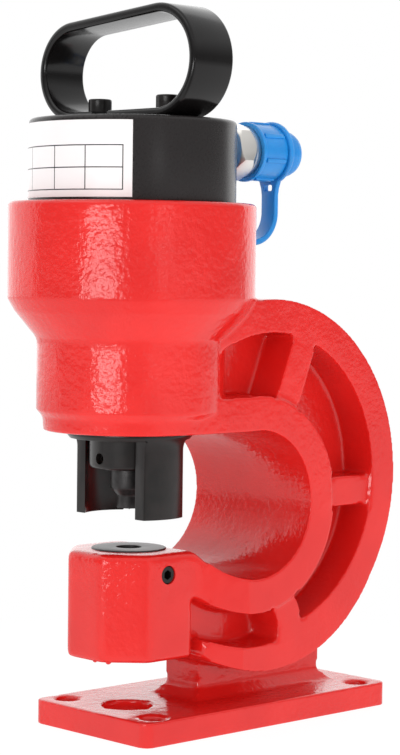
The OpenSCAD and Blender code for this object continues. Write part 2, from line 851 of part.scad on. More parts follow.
module rod_wiper() {
    color("black") at_punch()
        collar(rod_d / 2 + run_gap, bush_d / 2, spigot_top_z, bush_z);
}

module stripper() {
    outer_r = stripper_d / 2;
    flange_r = stripper_flange_d / 2;
    flange_z = ceiling_z - stripper_flange_t;
    inner_r = outer_r - stripper_wall;
    color("black") at_punch() difference() {
        rotate_extrude()
            polygon([[inner_r, stripper_end_z], [outer_r, stripper_end_z],
                     [outer_r, window_top_z], [flange_r, flange_z],
                     [flange_r, ceiling_z], [stripper_spigot_d / 2, ceiling_z],
                     [stripper_spigot_d / 2, spigot_top_z], [inner_r, spigot_top_z]]);
        for (side = [0, 1]) mirror([side, 0, 0])
            translate([stripper_leg_w / 2, -stripper_d, stripper_end_z - over])
                cube([stripper_d, 2 * stripper_d, window_top_z - stripper_end_z + over]);
    }
}

module punch() {
    slope_z = tip_z + punch_tip_l;
    color("gray") at_punch() rotate_extrude()
        polygon([[0, tip_z - nib_l], [nib_l, tip_z], [punch_d / 2, tip_z],
                 [punch_d / 2, slope_z], [punch_body_d / 2, slope_z + punch_slope_l],
                 [punch_body_d / 2, rod_end_z], [punch_shank_d / 2, rod_end_z],
                 [punch_shank_d / 2, rod_end_z + punch_shank_l],
                 [0, rod_end_z + punch_shank_l]]);
}

module punch_set_screw() {
    color("dimgray") at_punch()
        translate([-punch_screw_x, 0, rod_end_z + punch_screw_rise]) rotate([0, -90, 0])
            grub_screw(punch_screw_d, punch_screw_l);
}

module die() {
    hole_r = die_hole_d / 2;
    color("dimgray") at_punch() rotate_extrude()
        polygon([[hole_r + die_relief, die_seat_z], [die_d / 2, die_seat_z],
                 [die_d / 2, die_top], [hole_r, die_top], [hole_r, die_top - die_land],
                 [hole_r + die_relief, die_top - die_land]]);
}

module die_set_screw() {
    color("dimgray") at_punch()
        translate([0, -die_screw_y, boss_top - die_screw_drop]) rotate([90, 0, 0])
            grub_screw(die_screw_d, die_screw_l);
}

// Coupler

module port_seal_washer() {
    color("silver") at_punch() along_coupler()
        collar(port_d / 2 + seat_gap, washer_d / 2, spot_x, neck_x);
}

module coupler_body() {
    hex_d = hex_af / cos(30);
    edge_r = hex_d / 2 + blend_step;
    chamfer = edge_r - hex_af / 2;
    color("silver") at_punch() along_coupler() difference() {
        union() {
            translate([0, 0, thread_x]) cylinder(d = port_d, h = neck_x - thread_x);
            translate([0, 0, neck_x]) cylinder(d = coupler_neck_d, h = coupler_neck_l);
            intersection() {
                translate([0, 0, hex_x]) rotate([0, 0, hex_turn])
                    cylinder(d = hex_d, h = hex_l, $fn = 6);
                rotate_extrude()
                    polygon([[0, hex_x], [hex_af / 2, hex_x], [edge_r, hex_x + chamfer],
                             [edge_r, collar_x - 2 * chamfer],
                             [hex_af / 2 - blend_step, collar_x], [0, collar_x]]);
            }
            translate([0, 0, collar_x]) cylinder(d = collar_d, h = collar_l);
        }
        translate([0, 0, thread_x - over]) cylinder(d = oil_way_d, h = nipple_x - thread_x);
        translate([0, 0, chamber_x])
            cylinder(d = nipple_spigot_d + 2 * seat_gap, h = nipple_spigot_l + over);
    }
}

module coupler_nose() {
    nose_r = nipple_d / 2;
    spigot_r = nipple_spigot_d / 2;
    ring_x = nipple_end_x - nipple_ring_back;
    color("silver") at_punch() along_coupler() rotate_extrude()
        polygon([[chamber_d / 2, chamber_x], [spigot_r, chamber_x], [spigot_r, nipple_x],
                 [nose_r, nipple_x], [nose_r, ring_x], [nose_r - nipple_ring_d, ring_x],
                 [nose_r - nipple_ring_d, ring_x + nipple_ring_d],
                 [nose_r, ring_x + nipple_ring_d], [nose_r, nipple_end_x - nipple_chamfer],
                 [nose_r - nipple_chamfer, nipple_end_x], [seat_d / 2, nipple_end_x],
                 [seat_d / 2, seat_x], [chamber_d / 2, seat_x]]);
}

module coupler_o_ring() {
    color("black") at_punch() along_coupler()
        translate([0, 0, nipple_end_x - nipple_ring_back + nipple_ring_d / 2])
            rotate_extrude() translate([nipple_d / 2 - nipple_ring_d / 2, 0])
                circle(d = nipple_ring_d - 2 * seat_gap);
}

module coupler_poppet() {
    head_r = chamber_d / 2 - run_gap;
    color("gold") at_punch() along_coupler() {
        translate([0, 0, poppet_x]) cylinder(r = head_r, h = poppet_head_l);
        translate([0, 0, poppet_x - poppet_stem_l])
            cylinder(d = poppet_stem_d, h = poppet_stem_l + over);
        translate([0, 0, poppet_x + poppet_head_l - over])
            cylinder(d = seat_d - 2 * loose_gap, h = seat_l + over - loose_gap);
    }
}

module poppet_spring() {
    mean_d = (chamber_d + poppet_stem_d) / 2;
    color("slategray") at_punch() along_coupler() translate([0, 0, chamber_x])
        coil(mean_d, poppet_wire, poppet_coils, poppet_x - chamber_x - loose_gap);
}

module dust_cap() {
    sleeve_r = dust_d / 2;
    bore_r = nipple_d / 2 + loose_gap;
    bore_end = nipple_end_x + loose_gap;
    knob_r = knob_d / 2;
    knob_end = knob_x + knob_l;
    core_r = knob_r - knob_wall;
    round_cut = knob_round * (1 - cos(45));
    color("dodgerblue") at_punch() along_coupler() {
        rotate_extrude()
            polygon([[bore_r, dust_x], [sleeve_r, dust_x], [sleeve_r, groove_x],
                     [knob_r, groove_x], [knob_r, bead_x], [knob_r + bead_h, bead_x],
                     [knob_r + bead_h, knob_x], [knob_r, knob_x],
                     [knob_r, knob_end - knob_round], [knob_r - round_cut, knob_end - round_cut],
                     [knob_r - knob_round, knob_end], [0, knob_end], [0, knob_end - knob_round],
                     [core_r, knob_end - knob_round], [core_r, bore_end], [bore_r, bore_end]]);
        for (i = [0 : dust_ribs - 1]) rotate([0, 0, dust_rib_turn + i * 360 / dust_ribs])
            translate([sleeve_r - dust_rib_h, -dust_rib_w / 2, dust_x])
                cube([2 * dust_rib_h, dust_rib_w, dust_sleeve_l]);
    }
}

module strap_band() {
    half = strap_t / 2;
    side_plate(strap_w) {
        translate([strap_x - half, strap_loop_z])
            square([strap_t, coupler_z - strap_ring_r - half - strap_loop_z]);
        translate([strap_x - strap_loop_r, strap_loop_z]) intersection() {
            difference() {
                circle(strap_loop_r + half);
                circle(strap_loop_r - half);
            }
            translate([-2 * strap_loop_r, -2 * strap_loop_r])
                square([4 * strap_loop_r, 2 * strap_loop_r]);
        }
        translate([strap_back_x - half, strap_loop_z])
            square([strap_t, strap_bend_z - strap_loop_z]);
        translate([strap_back_x - strap_bend_r, strap_bend_z]) intersection() {
            difference() {
                circle(strap_bend_r + half);
                circle(strap_bend_r - half);
            }
            square(2 * strap_bend_r);
        }
        translate([strap_inner_x - half, strap_bend_z + strap_bend_r - half])
            square([strap_back_x - strap_bend_r - strap_inner_x + half, strap_t]);
        translate([strap_inner_x - half, strap_bend_z + strap_bend_r - half])
            square([strap_t, coupler_z - inner_ring_r - half - strap_bend_z - strap_bend_r + half]);
    }
}

module dust_cap_strap() {
    half = strap_t / 2;
    color("dodgerblue") at_punch() {
        strap_band();
        along_coupler() {
            collar(strap_ring_r, strap_ring_r + strap_ring_wall, strap_x - half, strap_x + half);
            collar(inner_ring_r, inner_ring_r + strap_inner_wall,
                   strap_inner_x - half, strap_inner_x + half);
        }
    }
}

c_frame();
cylinder_cap();
cap_o_ring();
rating_label();
carry_handle();
handle_screws();
piston_rod();
piston_seal();
piston_backup_ring();
piston_wear_ring();
return_spring();
rod_bush();
rod_wiper();
stripper();
punch();
punch_set_screw();
die();
die_set_screw();
port_seal_washer();
coupler_body();
coupler_nose();
coupler_poppet();
poppet_spring();
coupler_o_ring();
dust_cap();
dust_cap_strap();
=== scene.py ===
import bmesh
import bpy
import math
import numpy as np
from mathutils import Matrix, Vector


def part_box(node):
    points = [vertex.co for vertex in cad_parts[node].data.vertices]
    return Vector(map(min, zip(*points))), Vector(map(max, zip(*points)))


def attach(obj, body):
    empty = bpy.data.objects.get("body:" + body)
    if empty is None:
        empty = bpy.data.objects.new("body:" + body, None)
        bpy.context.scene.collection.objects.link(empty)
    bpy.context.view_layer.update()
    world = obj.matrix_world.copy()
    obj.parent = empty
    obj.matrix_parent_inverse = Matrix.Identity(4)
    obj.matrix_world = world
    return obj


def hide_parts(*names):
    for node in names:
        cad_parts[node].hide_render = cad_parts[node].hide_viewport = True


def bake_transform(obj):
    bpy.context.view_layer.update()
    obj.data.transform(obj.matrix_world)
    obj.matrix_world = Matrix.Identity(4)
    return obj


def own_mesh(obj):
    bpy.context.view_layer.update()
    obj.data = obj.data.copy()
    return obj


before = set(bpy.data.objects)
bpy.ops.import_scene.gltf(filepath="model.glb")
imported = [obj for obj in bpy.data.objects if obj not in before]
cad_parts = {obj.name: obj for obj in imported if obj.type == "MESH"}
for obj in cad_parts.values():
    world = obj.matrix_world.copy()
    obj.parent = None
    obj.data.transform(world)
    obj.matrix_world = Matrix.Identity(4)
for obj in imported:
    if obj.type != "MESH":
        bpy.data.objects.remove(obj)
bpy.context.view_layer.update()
scene = bpy.context.scene

MM = 0.001
FULL = 2 * math.pi
QUARTER = FULL / 4


def middle_of(node):
    low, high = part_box(node)
    return (low + high) / 2


# Pieces are drawn in millimetres round the punch axis, or along the oil coupler's axis, and then placed.
AXIS = Vector((middle_of("die").x, 0, 0))
UPRIGHT = Matrix.Translation(AXIS) @ Matrix.Scale(MM, 4)
COUPLER_Z = middle_of("coupler_nose").z / MM
SIDEWAYS = Matrix.Translation((0, 0, COUPLER_Z)) @ Matrix.Rotation(QUARTER, 4, "Y")
ALONG_COUPLER = UPRIGHT @ SIDEWAYS


def extent(node):
    """A node's reach along X, Y and Z, each (low, high), in millimetres round the punch axis."""
    low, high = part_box(node)
    return list(zip((low - AXIS) / MM, (high - AXIS) / MM))


CAP_LOW, CAP_TOP = extent("cylinder_cap")[2]
HOUSING_TOP = extent("c_frame")[2][1]
# The gap round a piece in its hole, and how far a cutting shape reaches past what it cuts
PLAY = 0.05
OVER = 4


# Camera

CAMERA_PLACE = Vector((-0.8771, -0.9048, 0.2556))
# How far it is turned about the vertical, looks down and leans
CAMERA_TURN = math.radians(-43.627)
CAMERA_DIP = math.radians(2.91)
CAMERA_LEAN = math.radians(0.699)
CAMERA_LENS = 106.23
# Level directions towards the camera and to its right
NEARER = Vector((math.sin(CAMERA_TURN), -math.cos(CAMERA_TURN), 0))
RIGHTWARD = Vector((math.cos(CAMERA_TURN), math.sin(CAMERA_TURN), 0))


def set_camera():
    data = bpy.data.cameras.new("photo_camera")
    data.sensor_width = 36
    data.lens = CAMERA_LENS
    camera = bpy.data.objects.new("photo_camera", data)
    turn = Matrix.Rotation(CAMERA_TURN, 4, "Z") @ Matrix.Rotation(QUARTER - CAMERA_DIP, 4, "X")
    lean = Matrix.Rotation(CAMERA_LEAN, 4, "Z")
    camera.matrix_world = Matrix.Translation(CAMERA_PLACE) @ turn @ lean
    scene.collection.objects.link(camera)
    scene.camera = camera


set_camera()


# Materials

def linear(colour):
    channels = [int(colour[i:i + 2], 16) / 255 for i in (1, 3, 5)]
    return (*[c / 12.92 if c <= 0.04045 else ((c + 0.055) / 1.055) ** 2.4 for c in channels], 1)


def per_mm(size):
    """The texture scale at which one feature is this many millimetres."""
    return 1 / (size * MM)


def add_node(tree, kind, inputs=None, **settings):
    node = tree.nodes.new("ShaderNode" + kind)
    for name, value in settings.items():
        setattr(node, name, value)
    for name, value in (inputs or {}).items():
        if isinstance(value, bpy.types.NodeSocket):
            tree.links.new(value, node.inputs[name])
        else:
            node.inputs[name].default_value = value
    return node


def new_finish(name, colour, **sockets):
    finish = bpy.data.materials.new(name)
    finish.use_nodes = True
    tree = finish.node_tree
    shader = tree.nodes["Principled BSDF"]
    shader.inputs["Base Color"].default_value = linear(colour)
    finish.diffuse_color = linear(colour)
    for key, value in sockets.items():
        shader.inputs[key.replace("_", " ")].default_value = value
    place = add_node(tree, "TexCoord").outputs["Object"]
    return finish, tree, shader.inputs, place


def mottle(tree, place, size, dark, light):
    """Two close shades in soft patches of this many millimetres."""
    cloud = add_node(tree, "TexNoise", {"Vector": place, "Scale": per_mm(size), "Detail": 3.0})
    ramp = add_node(tree, "ValToRGB", {"Fac": cloud.outputs["Fac"]})
    for stop, position, shade in zip(ramp.color_ramp.elements, (0.35, 0.65), (dark, light)):
        stop.position = position
        stop.color = linear(shade)
    return ramp.outputs["Color"]


def red_enamel():
    # Gloss enamel sprayed on a sand casting. The sand's grain shows through as orange peel that breaks up
    # every highlight, in patches, with smoother places where the paint ran thicker.
    finish, tree, sockets, place = new_finish("gloss_enamel_red", "#D51F1C", IOR=1.5)
    tree.links.new(mottle(tree, place, 55, "#CF1C19", "#DB221E"), sockets["Base Color"])
    patches = add_node(tree, "TexNoise", {"Vector": place, "Scale": per_mm(70), "Detail": 2.0})
    amount = add_node(tree, "MapRange", {"Value": patches.outputs["Fac"], "From Min": 0.35, "From Max": 0.65,
                                         "To Min": 0.25, "To Max": 0.85})
    peel = add_node(tree, "TexNoise", {"Vector": place, "Scale": per_mm(3.4), "Detail": 2.0,
                                       "Roughness": 0.55})
    sand = add_node(tree, "TexNoise", {"Vector": place, "Scale": per_mm(14), "Detail": 1.0})
    swell = add_node(tree, "Bump", {"Height": sand.outputs["Fac"], "Strength": 0.22, "Distance": 1.2 * MM})
    skin = add_node(tree, "Bump", {"Height": peel.outputs["Fac"], "Strength": amount.outputs["Result"],
                                   "Distance": 0.5 * MM, "Normal": swell.outputs["Normal"]})
    tree.links.new(skin.outputs["Normal"], sockets["Normal"])
    gloss = add_node(tree, "MapRange", {"Value": patches.outputs["Fac"], "From Min": 0.3, "From Max": 0.7,
                                        "To Min": 0.12, "To Max": 0.2})
    tree.links.new(gloss.outputs["Result"], sockets["Roughness"])
    return finish


def black_coat(name, colour, roughness, size, depth):
    # Sprayed black on turned or bent steel: an even satin sheen with a very fine peel.
    finish, tree, sockets, place = new_finish(name, colour, IOR=1.4, Roughness=roughness)
    grain = add_node(tree, "TexNoise", {"Vector": place, "Scale": per_mm(size), "Detail": 2.0})
    skin = add_node(tree, "Bump", {"Height": grain.outputs["Fac"], "Strength": 0.2, "Distance": depth * MM})
    tree.links.new(skin.outputs["Normal"], sockets["Normal"])
    spread = add_node(tree, "MapRange", {"Value": grain.outputs["Fac"], "To Min": roughness - 0.04,
                                         "To Max": roughness + 0.04})
    tree.links.new(spread.outputs["Result"], sockets["Roughness"])
    return finish


def black_oxide():
    # Blackened machined steel: a warm near-black, oily, with faint turning marks and lighter rubbed patches.
    finish, tree, sockets, place = new_finish("black_oxide_steel", "#171312", IOR=1.4, Roughness=0.28)
    tree.links.new(mottle(tree, place, 12, "#120F0E", "#1E1918"), sockets["Base Color"])
    # Turning marks 0.8 mm apart: the real ones are finer than the picture shows.
    marks = add_node(tree, "TexWave", {"Vector": place, "Scale": per_mm(0.8) / FULL * 2, "Distortion": 1.5},
                     bands_direction="Z")
    skin = add_node(tree, "Bump", {"Height": marks.outputs["Fac"], "Strength": 0.12, "Distance": 0.05 * MM})
    tree.links.new(skin.outputs["Normal"], sockets["Normal"])
    return finish


def tool_steel():
    # Hardened and blackened tool steel with ground faces: lighter than the oxide, with a dull metal sheen.
    finish, tree, sockets, place = new_finish("hardened_tool_steel", "#302E2E", Metallic=0.5, Roughness=0.38)
    tree.links.new(mottle(tree, place, 5, "#282626", "#3A3838"), sockets["Base Color"])
    return finish


def nickel_plate():
    # Bright nickel over machined steel: near-mirror flats with a faint milling grain and a warm tint.
    finish, tree, sockets, place = new_finish("bright_nickel_plate", "#F0EDE8", Metallic=1.0, Roughness=0.3)
    grain = add_node(tree, "TexNoise", {"Vector": place, "Scale": per_mm(1.2), "Detail": 3.0})
    gloss = add_node(tree, "MapRange", {"Value": grain.outputs["Fac"], "To Min": 0.25, "To Max": 0.38})
    tree.links.new(gloss.outputs["Result"], sockets["Roughness"])
    skin = add_node(tree, "Bump", {"Height": grain.outputs["Fac"], "Strength": 0.06, "Distance": 0.1 * MM})
    tree.links.new(skin.outputs["Normal"], sockets["Normal"])
    return finish


def blue_polyethylene():
    # Soft injection-moulded polyethylene: waxy satin, light scattering a little below the skin.
    finish, tree, sockets, place = new_finish("moulded_polyethylene_blue", "#1C8AD8", IOR=1.51,
                                              Roughness=0.32, Subsurface_Weight=0.08,
                                              Subsurface_Scale=3 * MM)
    tree.links.new(mottle(tree, place, 20, "#1884D0", "#2090DE"), sockets["Base Color"])
    grain = add_node(tree, "TexNoise", {"Vector": place, "Scale": per_mm(1.5), "Detail": 2.0})
    skin = add_node(tree, "Bump", {"Height": grain.outputs["Fac"], "Strength": 0.08, "Distance": 0.1 * MM})
    tree.links.new(skin.outputs["Normal"], sockets["Normal"])
    return finish


# The lines of the label's table, in millimetres from the label's middle and up from its lower edge
TABLE_ACROSS = (-42.5, -22.0, -1.8, 22.2, 42.5)
TABLE_UP = (3.9, 15.4, 26.9)
TABLE_LINE = 0.6


def label_film():
    # White vinyl film with a printed empty table in thin black lines. Its map is in millimetres.
    white = "#EAE6E6"
    finish, tree, sockets, _ = new_finish("printed_vinyl_white", white, IOR=1.46, Roughness=0.3)
    sheet = add_node(tree, "UVMap", uv_map="sheet").outputs["UV"]
    across, up, _ = add_node(tree, "SeparateXYZ", {"Vector": sheet}).outputs
    ink = 0.0
    for value, lines, other, ends in ((across, TABLE_ACROSS, up, TABLE_UP),
                                      (up, TABLE_UP, across, TABLE_ACROSS)):
        above = add_node(tree, "Math", {0: other, 1: ends[0] - TABLE_LINE / 3}, operation="GREATER_THAN")
        below = add_node(tree, "Math", {0: other, 1: ends[-1] + TABLE_LINE / 3}, operation="LESS_THAN")
        inside = add_node(tree, "Math", {0: above.outputs[0], 1: below.outputs[0]}, operation="MULTIPLY")
        for line in lines:
            on = add_node(tree, "Math", {0: value, 1: line, 2: TABLE_LINE / 2}, operation="COMPARE")
            kept = add_node(tree, "Math", {0: on.outputs[0], 1: inside.outputs[0]}, operation="MULTIPLY")
            ink = add_node(tree, "Math", {0: ink, 1: kept.outputs[0]}, operation="MAXIMUM").outputs[0]
    colour = add_node(tree, "Mix", {"Factor": ink, "A": linear(white), "B": linear("#252527")},
                      data_type="RGBA")
    tree.links.new(colour.outputs["Result"], sockets["Base Color"])
    return finish


def plain_metal(name, dark, light, roughness, size):
    # Turned, drawn or cast metal inside the tool: oiled, with faint cloudy shades.
    finish, tree, sockets, place = new_finish(name, light, Metallic=1.0, Roughness=roughness)
    tree.links.new(mottle(tree, place, size, dark, light), sockets["Base Color"])
    return finish


def soft_ring(name, dark, light, roughness):
    # Moulded or turned seals and rings: matt, with a faint bloom.
    finish, tree, sockets, place = new_finish(name, light, IOR=1.5, Roughness=roughness)
    tree.links.new(mottle(tree, place, 3, dark, light), sockets["Base Color"])
    return finish


RED = red_enamel()
CAP_BLACK = black_coat("satin_black_paint", "#221F1F", roughness=0.28, size=1.6, depth=0.1)
BAR_BLACK = black_coat("gloss_black_powder_coat", "#0E0C0C", roughness=0.17, size=3, depth=0.03)
OXIDE = black_oxide()
TOOL = tool_steel()
NICKEL = nickel_plate()
BLUE = blue_polyethylene()
FILM = label_film()
SPRING = plain_metal("oiled_spring_steel", "#4B4A4B", "#6A696A", roughness=0.35, size=6)
BRONZE = plain_metal("turned_bronze", "#8A6330", "#A87B3E", roughness=0.3, size=8)
RUBBER = soft_ring("moulded_nitrile_rubber", "#151515", "#1E1E1E", roughness=0.6)
URETHANE = soft_ring("moulded_polyurethane_teal", "#1F5E62", "#2A7074", roughness=0.45)
RING = soft_ring("turned_filled_ptfe", "#8E6C4A", "#A17E5A", roughness=0.5)


# Making pieces

def turned(corners, steps=96, segments=4):
    """A closed section of (radius, height, corner round), spun about Z."""
    bm = bmesh.new()
    section = [bm.verts.new((r, 0, h)) for r, h, _ in corners]
    bm.faces.new(section)
    for vert, (_, _, rounding) in zip(section, corners):
        if rounding:
            bmesh.ops.bevel(bm, geom=[vert], offset=rounding, affect="VERTICES", segments=segments,
                            profile=0.5, material=-1)
    bmesh.ops.delete(bm, geom=bm.faces[:], context="FACES_ONLY")
    axis = [e for e in bm.edges if all(abs(v.co.x) < 1e-6 for v in e.verts)]
    bmesh.ops.delete(bm, geom=axis, context="EDGES")
    bmesh.ops.spin(bm, geom=bm.verts[:] + bm.edges[:], cent=(0, 0, 0), axis=(0, 0, 1), angle=FULL,
                   steps=steps, use_merge=True)
    bmesh.ops.remove_doubles(bm, verts=bm.verts[:], dist=1e-4)
    bmesh.ops.recalc_face_normals(bm, faces=bm.faces[:])
    return bm


def rod(radius, low, high, place=Matrix(), steps=48, bm=None):
    """A cylinder from low to high along the Z of its place, added to a shape if one is given."""
    if bm is None:
        bm = bmesh.new()
    middle = place @ Matrix.Translation((0, 0, (low + high) / 2))
    bmesh.ops.create_cone(bm, cap_ends=True, segments=steps, radius1=radius, radius2=radius,
                          depth=high - low, matrix=middle)
    return bm


def block(size, centre, rounding=0):
    bm = bmesh.new()
    bmesh.ops.create_cube(bm, size=1)
    bmesh.ops.scale(bm, vec=size, verts=bm.verts[:])
    bmesh.ops.translate(bm, vec=centre, verts=bm.verts[:])
    if rounding:
        bmesh.ops.bevel(bm, geom=bm.edges[:], offset=rounding, affect="EDGES", segments=3, profile=0.5,
                        material=-1)
    return bm


def outline(bm, corners, rounding, segments):
    """The edges of a flat section with rounded corners, to be drawn out."""
    section = [bm.verts.new(corner) for corner in corners]
    bm.faces.new(section)
    bmesh.ops.bevel(bm, geom=section, offset=rounding, affect="VERTICES", segments=segments, profile=0.5,
                    material=-1)
    bmesh.ops.delete(bm, geom=bm.faces[:], context="FACES_ONLY")
    return bm.edges[:]


def run(bm, edges, shift, parts=1):
    """Draws a section's edges out in a straight line."""
    for _ in range(parts):
        new = bmesh.ops.extrude_edge_only(bm, edges=edges)["geom"]
        verts = {g for g in new if isinstance(g, bmesh.types.BMVert)}
        bmesh.ops.translate(bm, vec=Vector(shift) / parts, verts=list(verts))
        edges = [g for g in new if isinstance(g, bmesh.types.BMEdge) and verts.issuperset(g.verts)]
    return edges


def bend(bm, edges, centre, axis, angle, steps, lift=0):
    """Draws a section's edges round a bend, which climbs along Z for a coil."""
    verts = list({v for e in edges for v in e.verts})
    last = bmesh.ops.spin(bm, geom=verts + edges, cent=centre, axis=axis, angle=angle, steps=steps,
                          dvec=(0, 0, lift / steps))["geom_last"]
    return [g for g in last if isinstance(g, bmesh.types.BMEdge)]


def close_ends(bm):
    bmesh.ops.holes_fill(bm, edges=bm.edges[:], sides=0)
    bmesh.ops.recalc_face_normals(bm, faces=bm.faces[:])
    return bm


def node_copy(node, rounding=0):
    """A merged copy of a node, in millimetres round the punch axis, with its edges broken."""
    bm = bmesh.new()
    bm.from_mesh(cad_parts[node].data)
    bmesh.ops.transform(bm, matrix=UPRIGHT.inverted(), verts=bm.verts[:])
    bmesh.ops.remove_doubles(bm, verts=bm.verts[:], dist=1e-3)
    bmesh.ops.dissolve_limit(bm, angle_limit=math.radians(0.5), verts=bm.verts[:], edges=bm.edges[:],
                             delimit={"NORMAL"})
    if rounding:
        edges = [e for e in bm.edges if e.is_manifold and e.calc_face_angle(0) > math.radians(25)]
        bmesh.ops.bevel(bm, geom=edges, offset=rounding, affect="EDGES", segments=2, profile=0.5,
                        material=-1, clamp_overlap=True)
    return bm


def loose(bm, name, finish=None, place=UPRIGHT):
    """An object at the origin, with its place in its mesh."""
    bmesh.ops.transform(bm, matrix=place, verts=bm.verts[:])
    mesh = bpy.data.meshes.new(name)
    bm.to_mesh(mesh)
    bm.free()
    if finish:
        mesh.materials.append(finish)
    obj = bpy.data.objects.new(name, mesh)
    scene.collection.objects.link(obj)
    return obj


def settle(obj):
    """Makes the live modifiers part of the mesh."""
    bpy.context.view_layer.update()
    shaped = bpy.data.meshes.new_from_object(obj.evaluated_get(bpy.context.evaluated_depsgraph_get()))
    plain = obj.data
    obj.modifiers.clear()
    obj.data = shaped
    bpy.data.meshes.remove(plain)


def join(obj, operation, tools, place=UPRIGHT):
    """Cuts the tool shapes out of the piece, or fuses them with it."""
    shapes = [loose(bm, "tool", place=place) for bm in tools]
    for shape in shapes:
        change = obj.modifiers.new("join", "BOOLEAN")
        change.operation = operation
        change.solver = "EXACT"
        change.object = shape
    settle(obj)
    for shape in shapes:
        bpy.data.objects.remove(shape)


def show(obj, body, node, sharp=35):
    """Shades the finished piece, and puts it on its body in the place of its node."""
    obj.data.shade_smooth()
    obj.data.set_sharp_from_angle(angle=math.radians(sharp))
    if body:
        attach(obj, body)
    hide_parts(node)


# Casting

CAST_GRAIN = 0.65
CAST_FACES = 92000
# A point this far below the mean of its neighbours is in a hollow, or on an edge that stands proud.
HOLLOW_LEVEL = 0.008
PROUD_LEVEL = -0.004
CEILING = 164.6
BOSS_HALF = 32.3
BOSS_TOP = 100
BOSS_BOTTOM = 41.5
# How far behind the punch axis the boss's edges are rounded, and its lower edge
BOSS_ROUND_END = 44.39
BOSS_LIP_END = 83.15
FOOT_TOP = 30
POCKET_FLOOR = 23
POCKET_MOUTH = 44
POCKET_LOW = BOSS_TOP / 3
SPIGOT_R = 46
BORE_R = 38
SPRING_SEAT = 197
BUSH_R = 27
FORK_SPIGOT_R = 29
CAP_SHOULDER = CAP_LOW - 0.3
WIPER_LOW = extent("rod_wiper")[2][0]
DIE_R = extent("die")[0][1]
DIE_LOW, DIE_TOP = extent("die")[2]
DIE_SCREW_R = 5
DIE_SCREW_Z = middle_of("die_set_screw").z / MM
# The set screw's line, outwards from the punch axis
DIE_SCREW_LINE = Matrix.Translation((0, 0, DIE_SCREW_Z)) @ Matrix.Rotation(QUARTER, 4, "X")
# A plug is this much wider than its bore, and this much longer at an end inside the metal.
PLUG_WIDER = 2
PLUG_LONGER = 3
# Places and radii of the drops of paint under the boss
DROPS = ((-27.5, -4.5, 1.4), (-25.5, -13, 1.7))


def fill_bores(bm):
    """Fills the machined bores while the cast edges are rounded."""
    plugs = ((FORK_SPIGOT_R, CEILING, SPRING_SEAT + PLUG_LONGER),
             (BORE_R, SPRING_SEAT - PLUG_LONGER, CAP_LOW + PLUG_LONGER),
             (SPIGOT_R, CAP_LOW - PLUG_LONGER, HOUSING_TOP),
             (DIE_R, DIE_LOW - PLUG_LONGER, BOSS_TOP))
    for radius, low, high in plugs:
        rod(radius + PLUG_WIDER, low, high, steps=64, bm=bm)
    # This one ends a hair outside the boss's flat side.
    rod(DIE_SCREW_R + PLUG_WIDER, DIE_R / 2, BOSS_HALF + 2 * PLAY, DIE_SCREW_LINE, bm=bm)


def curl(mesh):
    """How far each point lies below the mean of its neighbours, above 0 in a hollow, and where it lies."""
    count = len(mesh.vertices)
    places = np.empty(count * 3, np.float32)
    mesh.vertices.foreach_get("co", places)
    places = places.reshape(-1, 3)
    normals = np.empty(count * 3, np.float32)
    mesh.vertex_normals.foreach_get("vector", normals)
    ends = np.empty(len(mesh.edges) * 2, np.int32)
    mesh.edges.foreach_get("vertices", ends)
    ends = ends.reshape(-1, 2)
    total = np.zeros((count, 3))
    number = np.zeros(count)
    for a, b in ((0, 1), (1, 0)):
        np.add.at(total, ends[:, a], places[ends[:, b]])
        np.add.at(number, ends[:, a], 1)
    hollow = ((total / number[:, None] - places) * normals.reshape(-1, 3)).sum(1)
    return hollow / MM, (places - np.array(AXIS)) / MM, ends


def round_out(casting, chosen, ends, rings, passes):
    """Smooths the chosen points, and this many rings of points about them."""
    for _ in range(rings):
        wider = chosen.copy()
        wider[ends[chosen[ends[:, 0]], 1]] = True
        wider[ends[chosen[ends[:, 1]], 0]] = True
        chosen = wider
    group = casting.vertex_groups.new(name="chosen")
    group.add(np.nonzero(chosen)[0].tolist(), 1.0, "REPLACE")
    rounding = casting.modifiers.new("rounding", "SMOOTH")
    rounding.vertex_group = group.name
    rounding.factor = 0.5
    rounding.iterations = passes
    settle(casting)
    casting.vertex_groups.clear()


def round_corners(casting):
    """Rounds the hollow corners more than the edges, and those of the pockets and the foot the most."""
    hollow, places, ends = curl(casting.data)
    x, y, z = places.T
    side = np.abs(y)
    deep = hollow > HOLLOW_LEVEL
    pocket = (side > POCKET_FLOOR - 1) & (side < POCKET_MOUTH) & (z > POCKET_LOW)
    wide = pocket | (z < FOOT_TOP)
    round_out(casting, deep & ~wide, ends, rings=3, passes=10)
    round_out(casting, deep & wide, ends, rings=9, passes=60)
    # The boss's front and its lower edge are rounder than its machined sides.
    boss = (side < BOSS_HALF + 1) & (z > BOSS_BOTTOM - 2) & (z < BOSS_TOP + 2)
    lip = (z < BOSS_BOTTOM + 2) & (x < BOSS_LIP_END)
    front = x < BOSS_ROUND_END
    round_out(casting, (hollow < PROUD_LEVEL) & boss & (lip | front), ends, rings=12, passes=150)


def cut_bores(casting):
    bores = ((FORK_SPIGOT_R + PLAY, CEILING - OVER, WIPER_LOW), (BUSH_R + PLAY, WIPER_LOW, SPRING_SEAT),
             (BORE_R, SPRING_SEAT, CAP_SHOULDER), (SPIGOT_R + PLAY, CAP_SHOULDER, HOUSING_TOP + OVER))
    walls = [(radius, z, 0) for radius, *ends in bores for z in ends]
    ram_bore = turned([(0, CEILING - OVER, 0), *walls, (0, HOUSING_TOP + OVER, 0)])
    seat_r, seat_top = DIE_R + PLAY, DIE_TOP + OVER
    die_seat = turned([(0, DIE_LOW, 0), (seat_r, DIE_LOW, 0), (seat_r, seat_top, 0), (0, seat_top, 0)])
    screw_hole = rod(DIE_SCREW_R + PLAY, DIE_R / 2, BOSS_HALF + OVER, DIE_SCREW_LINE)
    join(casting, "DIFFERENCE", [ram_bore, die_seat, screw_hole])


